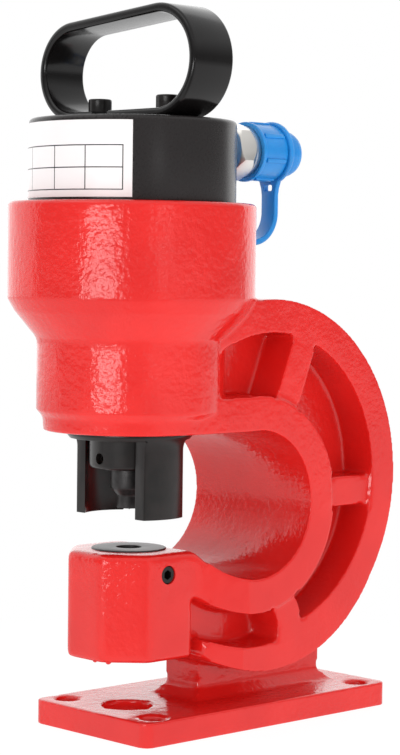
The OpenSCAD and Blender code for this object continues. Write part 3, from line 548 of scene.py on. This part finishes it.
def hang_drops(casting):
    drops = []
    for x, y, radius in DROPS:
        drop = bmesh.new()
        bmesh.ops.create_uvsphere(drop, u_segments=24, v_segments=12, radius=radius,
                                  matrix=Matrix.Translation((x, y, BOSS_BOTTOM + radius / 3)))
        drops.append(drop)
    join(casting, "UNION", drops)


def make_casting():
    bm = node_copy("c_frame")
    fill_bores(bm)
    casting = loose(bm, "casting", RED)
    cast = casting.modifiers.new("cast", "REMESH")
    cast.mode = "VOXEL"
    cast.voxel_size = CAST_GRAIN * MM
    edges = casting.modifiers.new("edges", "SMOOTH")
    edges.factor = 0.5
    edges.iterations = 6
    settle(casting)
    round_corners(casting)
    thin = casting.modifiers.new("thin", "DECIMATE")
    thin.ratio = min(1, CAST_FACES / len(casting.data.polygons))
    settle(casting)
    cut_bores(casting)
    hang_drops(casting)
    show(casting, "frame", "c_frame", sharp=40)


make_casting()


# Cylinder cap, label and handle

CAP_R = extent("cylinder_cap")[1][1]
CAP_EDGE = 2.4
RING_GROOVE = 3
RING_PLAY = 0.2
PORT_R = 8.5
SPOT_FACE_R = 11.8
PASSAGE_R = 4
LABEL_ARC = math.radians(96)
HANDLE_FAR_R = 27.25
HANDLE_THICK = 5
HANDLE_EDGE = 1.9
# Where the bar's two ends lie across the cap, with the open joint between them
HANDLE_ENDS = (5.5, 18)
HEAD_LOW = CAP_TOP + HANDLE_THICK
HEAD_R = 6.5
SCREW_R = 4
SCREW_TIP, HEAD_TOP = extent("handle_screws")[2]
SCREW_PLACES = [end - side * HEAD_R for end, side in zip(extent("handle_screws")[1], (-1, 1))]
SCREW_PLAY = 0.3
# The steps round a screw's head, and the share of its radius that every second one is cut in
KNURL_STEPS = 72
KNURL_SHARE = 0.045
KEY_R = 3.18
KEY_DEPTH = 3.8


def make_cap():
    ring_low, ring_high = extent("cap_o_ring")[2]
    groove_low, groove_high = ring_low - RING_PLAY, ring_high + RING_PLAY
    groove_r = SPIGOT_R - RING_GROOVE
    section = [(0, CAP_LOW, 0), (SPIGOT_R, CAP_LOW, 0.6), (SPIGOT_R, groove_low, 0),
               (groove_r, groove_low, 0), (groove_r, groove_high, 0), (SPIGOT_R, groove_high, 0),
               (SPIGOT_R, HOUSING_TOP, 0), (CAP_R, HOUSING_TOP, 0.6), (CAP_R, CAP_TOP, CAP_EDGE),
               (0, CAP_TOP, 0)]
    cap = loose(turned(section, steps=160, segments=5), "cap", CAP_BLACK)
    # The oil goes in at the port, past its thread and down a passage into the cylinder.
    port_end = extent("coupler_body")[0][0]
    spot_face = extent("port_seal_washer")[0][0]
    passage = Matrix.Translation((port_end - PASSAGE_R, 0, 0))
    tools = [rod(PORT_R + PLAY, port_end - 2 * PASSAGE_R, CAP_R + OVER, SIDEWAYS),
             rod(SPOT_FACE_R, spot_face, CAP_R + OVER, SIDEWAYS),
             rod(PASSAGE_R, CAP_LOW - 1, COUPLER_Z, passage)]
    for y in SCREW_PLACES:
        tools.append(rod(SCREW_R + PLAY, SCREW_TIP - 1, CAP_TOP + OVER, Matrix.Translation((0, y, 0))))
    join(cap, "DIFFERENCE", tools)
    show(cap, "frame", "cylinder_cap")


def make_label():
    low, high = extent("rating_label")[2]
    outer = -extent("rating_label")[0][0]
    inner = CAP_R + PLAY
    bm = bmesh.new()
    corners = ((inner, low), (outer, low), (outer, high), (inner, high))
    start = bm.faces.new([bm.verts.new((r, 0, h)) for r, h in corners])
    turn = Matrix.Rotation((FULL - LABEL_ARC) / 2, 3, "Z")
    bmesh.ops.rotate(bm, matrix=turn, verts=bm.verts[:])
    bmesh.ops.spin(bm, geom=[start], cent=(0, 0, 0), axis=(0, 0, 1), angle=LABEL_ARC, steps=64)
    bmesh.ops.recalc_face_normals(bm, faces=bm.faces[:])
    sheet = bm.loops.layers.uv.new("sheet")
    for face in bm.faces:
        for corner in face.loops:
            x, y, z = corner.vert.co
            corner[sheet].uv = (math.atan2(-y, -x) * -outer, z - low)
    label = loose(bm, "label", FILM)
    show(label, "frame", "rating_label")


def make_handle():
    # A flat bar bent to a loop whose near bend is the larger, so that the grip falls away from it.
    (_, half), (near_end, far_end), (_, top) = extent("carry_handle")
    near_r = (top - CAP_TOP) / 2
    near_y = near_end + near_r
    far_y = far_end - HANDLE_FAR_R
    grip = far_y - near_y
    slope = 2 * math.atan((near_r - HANDLE_FAR_R) / grip)
    start, end = HANDLE_ENDS
    bm = bmesh.new()
    corners = ((-half, start, CAP_TOP), (half, start, CAP_TOP), (half, start, HEAD_LOW),
               (-half, start, HEAD_LOW))
    loop = outline(bm, corners, HANDLE_EDGE, segments=5)
    loop = run(bm, loop, (0, near_y - start, 0))
    loop = bend(bm, loop, (0, near_y, CAP_TOP + near_r), (-1, 0, 0), math.pi + slope, steps=48)
    loop = run(bm, loop, (0, grip * math.cos(slope), -grip * math.sin(slope)))
    loop = bend(bm, loop, (0, far_y, CAP_TOP + HANDLE_FAR_R), (-1, 0, 0), math.pi - slope, steps=48)
    run(bm, loop, (0, end - far_y, 0))
    handle = loose(close_ends(bm), "handle", BAR_BLACK)
    cuts = []
    for y in SCREW_PLACES:
        upright = Matrix.Translation((0, y, 0))
        cuts.append(rod(SCREW_R + SCREW_PLAY, CAP_TOP - OVER, HEAD_LOW + 1, upright))
        cuts.append(rod(HEAD_R + SCREW_PLAY, HEAD_LOW, HEAD_TOP, upright))
    join(handle, "DIFFERENCE", cuts)
    show(handle, "frame", "carry_handle")


def make_handle_screws():
    head_r = HEAD_R - 2 * PLAY
    bm = turned([(0, SCREW_TIP, 0), (SCREW_R - 0.5, SCREW_TIP, 0), (SCREW_R, SCREW_TIP + 1, 0),
                 (SCREW_R, HEAD_LOW, 0), (head_r, HEAD_LOW, 0.4), (head_r, HEAD_LOW + 1, 0),
                 (head_r, HEAD_TOP - 1.6, 0), (head_r, HEAD_TOP, 0.9), (0, HEAD_TOP, 0)], steps=KNURL_STEPS)
    # A fine knurl round the head
    for vert in bm.verts:
        x, y, z = vert.co
        groove = round(math.atan2(y, x) / FULL * KNURL_STEPS) % 2
        if groove and math.hypot(x, y) > head_r - 0.1 and HEAD_LOW + 0.5 < z < HEAD_TOP - 1.1:
            vert.co.xy *= 1 - KNURL_SHARE
    near, far = SCREW_PLACES
    bmesh.ops.translate(bm, vec=(0, near, 0), verts=bm.verts[:])
    second = bmesh.ops.duplicate(bm, geom=bm.verts[:] + bm.edges[:] + bm.faces[:])["geom"]
    verts = [g for g in second if isinstance(g, bmesh.types.BMVert)]
    bmesh.ops.translate(bm, vec=(0, far - near, 0), verts=verts)
    screws = loose(bm, "handle_socket_screws", OXIDE)
    keys = [rod(KEY_R, HEAD_TOP - KEY_DEPTH, HEAD_TOP + OVER, Matrix.Translation((0, y, 0)), steps=6)
            for y in SCREW_PLACES]
    join(screws, "DIFFERENCE", keys)
    show(screws, "frame", "handle_screws")


make_cap()
make_label()
make_handle()
make_handle_screws()


# Ram, stripper, punch and die

ROD_R = 22
ROD_EDGE = 2.6
PISTON_H = 24.4
WEAR_RING_GROOVE = 2.5
SEAL_GROOVE = 5
SHANK_R = 10
PUNCH_R = 6.75
PUNCH_TIP = 7
PUNCH_SLOPE = 4
NIB = 1.1
PUNCH_SCREW_R = 3
PUNCH_SCREW_Z = middle_of("punch_set_screw").z / MM
# The set screw's line, outwards from the punch axis
PUNCH_SCREW_LINE = Matrix.Translation((0, 0, PUNCH_SCREW_Z)) @ Matrix.Rotation(-QUARTER, 4, "Y")
FORK_R = 31
FORK_WALL = 6
FORK_LEG = 28.6
FORK_FLANGE = 2
FLARE_H = 8
FLARE_CURVE = 2.2
WINDOW_TOP = CEILING - 4
CUTTING_GAP = 0.25
DIE_RELIEF = 1.5
DIE_LAND = 6
# The grub screws' cup, the slopes of their ends, and the key hole's share of their width
GRUB_CUP = 0.8
GRUB_POINT = 0.9
GRUB_END = 0.6
GRUB_KEY = 0.55


def make_rod():
    (_, piston_r), _, (low, high) = extent("piston_rod")
    piston_low = high - PISTON_H
    section = [(0, low, 0), (ROD_R, low, ROD_EDGE), (ROD_R, piston_low, 0), (piston_r, piston_low, 0.5)]
    # Grooves for the wear ring, and for the seal with the ring behind it
    for first, last, depth in (("piston_wear_ring", "piston_wear_ring", WEAR_RING_GROOVE),
                               ("piston_seal", "piston_backup_ring", SEAL_GROOVE)):
        start = extent(first)[2][0] - PLAY
        end = extent(last)[2][1] + PLAY
        floor_r = piston_r - depth
        section += [(piston_r, start, 0), (floor_r, start, 0), (floor_r, end, 0), (piston_r, end, 0)]
    section += [(piston_r, high, 0.5), (0, high, 0)]
    ram = loose(turned(section, steps=128), "ram_rod", OXIDE)
    socket = rod(SHANK_R + PLAY, low - OVER, extent("punch")[2][1] + PLAY)
    screw_hole = rod(PUNCH_SCREW_R + PLAY, SHANK_R / 2, ROD_R + OVER, PUNCH_SCREW_LINE)
    join(ram, "DIFFERENCE", [socket, screw_hole])
    show(ram, "ram", "piston_rod")


def make_stripper():
    (_, flange_r), _, (low, high) = extent("stripper")
    inner_r = FORK_R - FORK_WALL
    # The legs spread into the flange in a hollow round, and the windows end below it.
    spread = flange_r - FORK_R
    flare_low = CEILING - FORK_FLANGE - FLARE_H
    flare = [(FORK_R + spread * part ** FLARE_CURVE, flare_low + FLARE_H * part, 0)
             for part in np.linspace(0, 1, 7)]
    section = [(inner_r, low, 0), (FORK_R, low, 0), *flare, (flange_r, CEILING, 0),
               (FORK_SPIGOT_R, CEILING, 0), (FORK_SPIGOT_R, high, 0.6), (inner_r, high, 0)]
    sleeve = loose(turned(section, steps=128), "stripper_fork", OXIDE)
    window_low = low - OVER
    size = Vector((2 * FORK_R, 3 * FORK_R, WINDOW_TOP - window_low))
    window_x = (FORK_LEG + size.x) / 2
    window_z = (window_low + WINDOW_TOP) / 2
    cuts = [block(size, (side * window_x, 0, window_z)) for side in (-1, 1)]
    join(sleeve, "DIFFERENCE", cuts)
    edges = sleeve.modifiers.new("edges", "BEVEL")
    edges.width = 0.5 * MM
    edges.segments = 2
    edges.limit_method = "ANGLE"
    edges.angle_limit = math.radians(40)
    settle(sleeve)
    show(sleeve, "frame", "stripper")


def make_punch():
    (_, body_r), _, (nib, high) = extent("punch")
    tip = nib + NIB
    slope = tip + PUNCH_TIP
    shoulder = extent("piston_rod")[2][0]
    section = [(0, nib, 0), (NIB, tip, 0), (PUNCH_R, tip, 0.15), (PUNCH_R, slope, 1),
               (body_r, slope + PUNCH_SLOPE, 1), (body_r, shoulder, 0.3), (SHANK_R, shoulder, 0),
               (SHANK_R, high, 0.5), (0, high, 0)]
    punch = loose(turned(section), "round_punch", TOOL)
    show(punch, "ram", "punch")


def make_die():
    hole_r = PUNCH_R + CUTTING_GAP
    relief_r = hole_r + DIE_RELIEF
    land = DIE_TOP - DIE_LAND
    section = [(relief_r, DIE_LOW, 0), (DIE_R, DIE_LOW, 0.6), (DIE_R, DIE_TOP, 0.7),
               (hole_r, DIE_TOP, 0.25), (hole_r, land, 0), (relief_r, land, 0)]
    die = loose(turned(section, steps=128), "round_die", TOOL)
    show(die, "frame", "die")


def make_set_screw(name, body, node, radius, line, reach):
    """A grub screw along its line, with a cupped point and a key's hole."""
    end, tip = reach
    length = tip - end
    place = UPRIGHT @ line @ Matrix.Translation((0, 0, -tip))
    section = [(0, GRUB_CUP, 0), (radius / 2, 0, 0), (radius - GRUB_POINT, 0, 0), (radius, GRUB_POINT, 0),
               (radius, length - GRUB_END, 0), (radius - GRUB_END, length, 0), (0, length, 0)]
    screw = loose(turned(section, steps=48), name, OXIDE, place)
    key = rod(radius * GRUB_KEY, length / 2, length + OVER, steps=6)
    join(screw, "DIFFERENCE", [key], place)
    show(screw, body, node)


def make_spring(name, node, axis, place, mean_r, wire, turns):
    """A coil that starts at the low end of its node."""
    low, high = extent(node)[axis.index(1)]
    seat = place @ Matrix.Translation((0, 0, low))
    # Closed ends of three quarters of a turn, a hair apart, and an open pitch between them
    end_turns = 0.75
    end_lift = end_turns * wire * 1.04
    bm = bmesh.new()
    across = Matrix.Translation((mean_r, 0, wire / 2)) @ Matrix.Rotation(QUARTER, 4, "X")
    bmesh.ops.create_circle(bm, cap_ends=False, segments=16, radius=wire / 2, matrix=across)
    loop = bm.edges[:]
    open_lift = high - low - wire - 2 * end_lift
    for part, lift in ((end_turns, end_lift), (turns, open_lift), (end_turns, end_lift)):
        loop = bend(bm, loop, (0, 0, 0), (0, 0, 1), part * FULL, round(48 * part), lift)
    spring = loose(close_ends(bm), name, SPRING, seat)
    show(spring, "frame", node)
    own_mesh(spring)


make_rod()
make_stripper()
make_punch()
make_die()
make_set_screw("punch_grub_screw", "punch_screw", "punch_set_screw", PUNCH_SCREW_R, PUNCH_SCREW_LINE,
               extent("punch_set_screw")[0])
make_set_screw("die_grub_screw", "die_screw", "die_set_screw", DIE_SCREW_R, DIE_SCREW_LINE,
               extent("die_set_screw")[1])
make_spring("return_coil", "return_spring", (0, 0, 1), UPRIGHT, mean_r=30, wire=5.5, turns=3)


# Oil coupler, its dust cap and the strap

NOSE_END = extent("coupler_nose")[0][1]
SLEEVE_START, KNOB_END = extent("dust_cap")[0]
STRAP_THICK = 3.4
STRAP_HALF = 5.5
STRAP_EDGE = 1.1
STRAP_INNER = extent("dust_cap_strap")[0][0] + STRAP_THICK / 2
STRAP_X = extent("dust_cap_strap")[0][1] - STRAP_THICK / 2
STRAP_LOW = extent("dust_cap_strap")[2][0]
RING_GAP = 0.2
SLEEVE_END = STRAP_X - STRAP_THICK / 2 - RING_GAP
SLEEVE_R = 16.2
SLEEVE_BORE = 14.3
LIP_R = SLEEVE_R + 0.8
LIP_LENGTH = 2.4
LIP_SLOPE = 0.8
BEAD_START = STRAP_X + STRAP_THICK / 2 + RING_GAP
KNOB_START = BEAD_START + 1.8
KNOB_R = 13.7
BEAD_R = KNOB_R + 0.9
KNOB_TIP_R = 4
KNOB_WALL = 5
KNOB_CORE = 10.1
CORE_TIP = 7.1
CORE_SLOPE = 4
DOME_STEPS = 5
DOME_CURVE = 3.5
RIBS = 7
RIB_TURN = math.radians(31)
RIB_SIZE = (2.6, 2.8, 15)
RIB_MIDDLE = (SLEEVE_R - 0.25, 0, SLEEVE_START + 11)
# Where the strap's band starts in the outer ring, and goes up again behind it
BAND_TOP = COUPLER_Z - KNOB_R - 0.8
STRAP_BACK = 71.5
# Steps of the band's flare: how far below its start, and how much wider on each side
BAND_FLARE = ((0, 2.6), (2.5, 1.9), (5.5, 0.7), (9.5, 0))
STRAP_LOOP_R = (STRAP_X - STRAP_BACK) / 2
STRAP_LOOP = STRAP_LOW + STRAP_LOOP_R + STRAP_THICK / 2
STRAP_BEND = HOUSING_TOP + STRAP_THICK
STRAP_BEND_R = 8
OUTER_RING = (KNOB_R + RING_GAP, KNOB_R + 4.3)
INNER_RING = (11.2, 15)
TAB_LAP = 2.5
SLOT_SIZE = (10, 6.3, 3.6)
SLOT_DROP = 5.3


def make_coupler():
    body = loose(node_copy("coupler_body", 0.35), "coupler_hexagon", NICKEL)
    show(body, "frame", "coupler_body", sharp=30)
    nose = loose(node_copy("coupler_nose", 0.25), "coupler_nipple", NICKEL)
    show(nose, "frame", "coupler_nose", sharp=30)


def make_dust_cap():
    lip_end = SLEEVE_START + LIP_LENGTH
    section = [(SLEEVE_BORE, SLEEVE_START, 0.4), (LIP_R, SLEEVE_START, 0.7), (LIP_R, lip_end, 0.6),
               (SLEEVE_R, lip_end + LIP_SLOPE, 0), (SLEEVE_R, SLEEVE_END, 0.4), (KNOB_R, SLEEVE_END, 0),
               (KNOB_R, BEAD_START, 0), (BEAD_R, BEAD_START, 0.3), (BEAD_R, KNOB_START, 0.3),
               (KNOB_R, KNOB_START, 0)]
    # A dome in steps
    for part in np.arange(1, DOME_STEPS + 1) / (DOME_STEPS + 1):
        radius = KNOB_R * math.sqrt(1 - part ** DOME_CURVE)
        z = KNOB_START + part * (KNOB_END - KNOB_START)
        section += [(radius, z, 0.3), (radius - 0.5, z + 0.2, 0)]
    core_end = KNOB_END - KNOB_WALL
    bore_end = NOSE_END + 0.3
    section += [(KNOB_TIP_R, KNOB_END, 0.5), (0, KNOB_END, 0), (0, core_end, 0), (CORE_TIP, core_end, 0),
                (KNOB_CORE, core_end - CORE_SLOPE, 0), (KNOB_CORE, bore_end, 0), (SLEEVE_BORE, bore_end, 0)]
    cap = loose(turned(section, steps=128, segments=3), "dust_cap_sleeve", BLUE, ALONG_COUPLER)
    ribs = []
    for i in range(RIBS):
        rib = block(RIB_SIZE, RIB_MIDDLE, 0.6)
        turn = Matrix.Rotation(RIB_TURN + i * FULL / RIBS, 3, "Z")
        bmesh.ops.rotate(rib, matrix=turn, verts=rib.verts[:])
        ribs.append(rib)
    join(cap, "UNION", ribs, ALONG_COUPLER)
    show(cap, "dust_cap", "dust_cap")


def strap_band():
    """The band: from the outer ring with a flare down, round the loop, up and over to the inner ring."""
    bm = bmesh.new()
    half = STRAP_THICK / 2
    width = STRAP_HALF + BAND_FLARE[0][1]
    corners = [(STRAP_X + x * half, y * width, BAND_TOP) for x, y in ((-1, -1), (1, -1), (1, 1), (-1, 1))]
    loop = outline(bm, corners, STRAP_EDGE, segments=3)
    for (drop, wider), (next_drop, next_wider) in zip(BAND_FLARE, BAND_FLARE[1:]):
        loop = run(bm, loop, (0, 0, drop - next_drop))
        narrower = (STRAP_HALF + next_wider) / (STRAP_HALF + wider)
        bmesh.ops.scale(bm, vec=(1, narrower, 1), verts=list({v for e in loop for v in e.verts}))
    flare_end = BAND_TOP - BAND_FLARE[-1][0]
    loop = run(bm, loop, (0, 0, STRAP_LOOP - flare_end), 3)
    loop = bend(bm, loop, (STRAP_X - STRAP_LOOP_R, 0, STRAP_LOOP), (0, 1, 0), math.pi, steps=32)
    loop = run(bm, loop, (0, 0, STRAP_BEND - STRAP_LOOP), 2)
    loop = bend(bm, loop, (STRAP_BACK - STRAP_BEND_R, 0, STRAP_BEND), (0, 1, 0), -QUARTER, steps=12)
    run(bm, loop, (STRAP_INNER - STRAP_BACK + STRAP_BEND_R, 0, 0), 2)
    return close_ends(bm)


def make_strap():
    strap = loose(strap_band(), "dust_cap_tether", BLUE)
    rings = []
    for x, (inner_r, outer_r) in ((STRAP_X, OUTER_RING), (STRAP_INNER, INNER_RING)):
        low, high = x - STRAP_THICK / 2, x + STRAP_THICK / 2
        section = [(inner_r, low, 0.5), (outer_r, low, 1.2), (outer_r, high, 1.2), (inner_r, high, 0.5)]
        rings.append(turned(section))
    join(strap, "UNION", rings, ALONG_COUPLER)
    # A tab joins the inner ring to the band.
    tab_low = STRAP_BEND + STRAP_BEND_R - STRAP_THICK / 2
    tab_high = COUPLER_Z - INNER_RING[1] + TAB_LAP
    tab_size = (STRAP_THICK, 2 * STRAP_HALF, tab_high - tab_low)
    join(strap, "UNION", [block(tab_size, (STRAP_INNER, 0, (tab_low + tab_high) / 2), 0.5)])
    join(strap, "DIFFERENCE", [block(SLOT_SIZE, (STRAP_X, 0, BAND_TOP - SLOT_DROP), 1)])
    show(strap, None, "dust_cap_strap")
    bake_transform(strap)


make_coupler()
make_spring("poppet_coil", "poppet_spring", (1, 0, 0), ALONG_COUPLER, mean_r=5, wire=1,
            turns=4)
make_dust_cap()
make_strap()

# Pieces that keep their shape inside the tool
for node, finish in (("cap_o_ring", RUBBER), ("piston_seal", URETHANE), ("piston_backup_ring", RING),
                     ("piston_wear_ring", RING), ("rod_bush", BRONZE), ("rod_wiper", RUBBER),
                     ("port_seal_washer", NICKEL), ("coupler_poppet", BRONZE), ("coupler_o_ring", RUBBER)):
    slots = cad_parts[node].data.materials
    slots.clear()
    slots.append(finish)


# Stage and light

FLOOR_R = 4
FLOOR_DROP = 0.2 * MM
WHITE = (1, 1, 1, 1)
# What gloss shows of the studio's dim side, and how far that side is turned to the camera's right
DIM = 0.3
DIM_TURN = math.radians(16.9)
# The light on matt colours
TENT = 0.74
# The lamps stand round the middle of the tool.
MIDDLE = AXIS + Vector((0, 0, 0.2))


def set_floor():
    # A matt white table lit from below, with a faint shadow near the base.
    finish, tree, _, place = new_finish("lit_white_acrylic", "#FAFAFA", Roughness=0.9, Emission_Color=WHITE,
                                        Emission_Strength=0.45)
    far = add_node(tree, "VectorMath", {0: place}, operation="LENGTH")
    fade = add_node(tree, "MapRange", {"Value": far.outputs["Value"], "From Min": 0.1, "From Max": 0.35,
                                       "To Min": 0.85, "To Max": 1.0})
    light = add_node(tree, "LightPath")
    # In the paint's mirror the floor is bright all round the tool, and dimmer in a wedge on the near side.
    ahead = add_node(tree, "VectorMath", {0: place, 1: NEARER}, operation="DOT_PRODUCT")
    across = add_node(tree, "VectorMath", {0: place, 1: RIGHTWARD}, operation="DOT_PRODUCT")
    aside = add_node(tree, "Math", {0: across.outputs["Value"]}, operation="ABSOLUTE")
    wedge = add_node(tree, "Math", {0: aside.outputs[0], 1: -1.2, 2: ahead.outputs["Value"]},
                     operation="MULTIPLY_ADD")
    mirrored = add_node(tree, "MapRange", {"Value": wedge.outputs[0], "From Min": 0.1, "From Max": 0.35,
                                           "To Min": 1.0, "To Max": 0.45})
    strength = add_node(tree, "Mix", {"Factor": light.outputs["Is Camera Ray"],
                                      "A": mirrored.outputs["Result"], "B": 1.0})
    glow = add_node(tree, "Emission", {"Color": WHITE, "Strength": strength.outputs["Result"]})
    seen = add_node(tree, "Math", {0: light.outputs["Is Camera Ray"], 1: fade.outputs["Result"],
                                   2: light.outputs["Is Glossy Ray"]}, operation="MULTIPLY_ADD")
    matt = tree.nodes["Principled BSDF"].outputs["BSDF"]
    mix = add_node(tree, "MixShader", {"Fac": seen.outputs[0], 1: matt, 2: glow.outputs["Emission"]})
    tree.links.new(mix.outputs["Shader"], tree.nodes["Material Output"].inputs["Surface"])
    bm = bmesh.new()
    bmesh.ops.create_circle(bm, cap_ends=True, segments=96, radius=FLOOR_R)
    floor = loose(bm, "floor", finish, Matrix.Translation((0, 0, -FLOOR_DROP)))


def set_world():
    world = bpy.data.worlds.new("studio")
    scene.world = world
    world.use_nodes = True
    tree = world.node_tree
    way = add_node(tree, "TexCoord").outputs["Generated"]
    # The studio is lit past white behind the tool, pale overhead and below, and dim on the near side.
    dim_side = Matrix.Rotation(DIM_TURN, 3, "Z") @ NEARER
    front = add_node(tree, "VectorMath", {0: way, 1: dim_side}, operation="DOT_PRODUCT")
    behind = add_node(tree, "MapRange", {"Value": front.outputs["Value"], "From Min": -0.34,
                                         "From Max": -0.46, "To Min": DIM, "To Max": 1.5})
    height = add_node(tree, "SeparateXYZ", {"Vector": way}).outputs["Z"]
    above = add_node(tree, "MapRange", {"Value": height, "From Min": 0.15, "From Max": 0.5,
                                        "To Min": DIM, "To Max": 0.9})
    below = add_node(tree, "MapRange", {"Value": height, "From Min": 0.0, "From Max": -0.03,
                                        "To Min": DIM, "To Max": 0.65})
    around = add_node(tree, "Math", {0: above.outputs["Result"], 1: below.outputs["Result"]},
                      operation="MAXIMUM")
    level = add_node(tree, "Math", {0: behind.outputs["Result"], 1: around.outputs[0]}, operation="MAXIMUM")
    light = add_node(tree, "LightPath")
    clear = add_node(tree, "Math", {0: light.outputs["Is Camera Ray"],
                                    1: light.outputs["Is Transmission Ray"]}, operation="MAXIMUM")
    # What lights the matt colours is the even light of a tent. The pattern shows only in gloss.
    tent = add_node(tree, "Mix", {"Factor": light.outputs["Is Glossy Ray"], "A": TENT,
                                  "B": level.outputs[0]})
    strength = add_node(tree, "Mix", {"Factor": clear.outputs[0], "A": tent.outputs["Result"], "B": 1.0})
    tree.links.new(strength.outputs["Result"], tree.nodes["Background"].inputs["Strength"])
    tree.nodes["Background"].inputs["Color"].default_value = WHITE


def softbox(name, angle, distance, height, size, power, level=True, mirrored=True):
    """A lamp at this angle from the camera, seen from above, with left as minus. A level one isn't tilted."""
    to_camera = CAMERA_PLACE - MIDDLE
    to_camera.z = 0
    out = Matrix.Rotation(math.radians(angle), 3, "Z") @ to_camera.normalized()
    place = Vector((MIDDLE.x, MIDDLE.y, height)) + out * distance
    aim = Vector((MIDDLE.x, MIDDLE.y, height if level else MIDDLE.z))
    data = bpy.data.lights.new(name, "AREA")
    data.shape = "RECTANGLE"
    data.size, data.size_y = size
    data.energy = power
    lamp = bpy.data.objects.new(name, data)
    turn = (aim - place).to_track_quat("-Z", "Y").to_matrix().to_4x4()
    lamp.matrix_world = Matrix.Translation(place) @ turn
    lamp.visible_glossy = mirrored
    scene.collection.objects.link(lamp)


set_floor()
set_world()
softbox("left_strip", angle=-27, distance=1.6, height=0.185, size=(0.85, 0.27), power=5)
softbox("right_strip", angle=27, distance=1.6, height=0.38, size=(0.3, 0.1), power=0.35)
softbox("top_softbox", angle=-60, distance=0.9, height=1.6, size=(1.2, 0.8), power=3, level=False)
softbox("low_softbox", angle=47, distance=1.2, height=0.2, size=(1.2, 0.3), power=3.2, mirrored=False)
scene.view_settings.view_transform = "Standard"
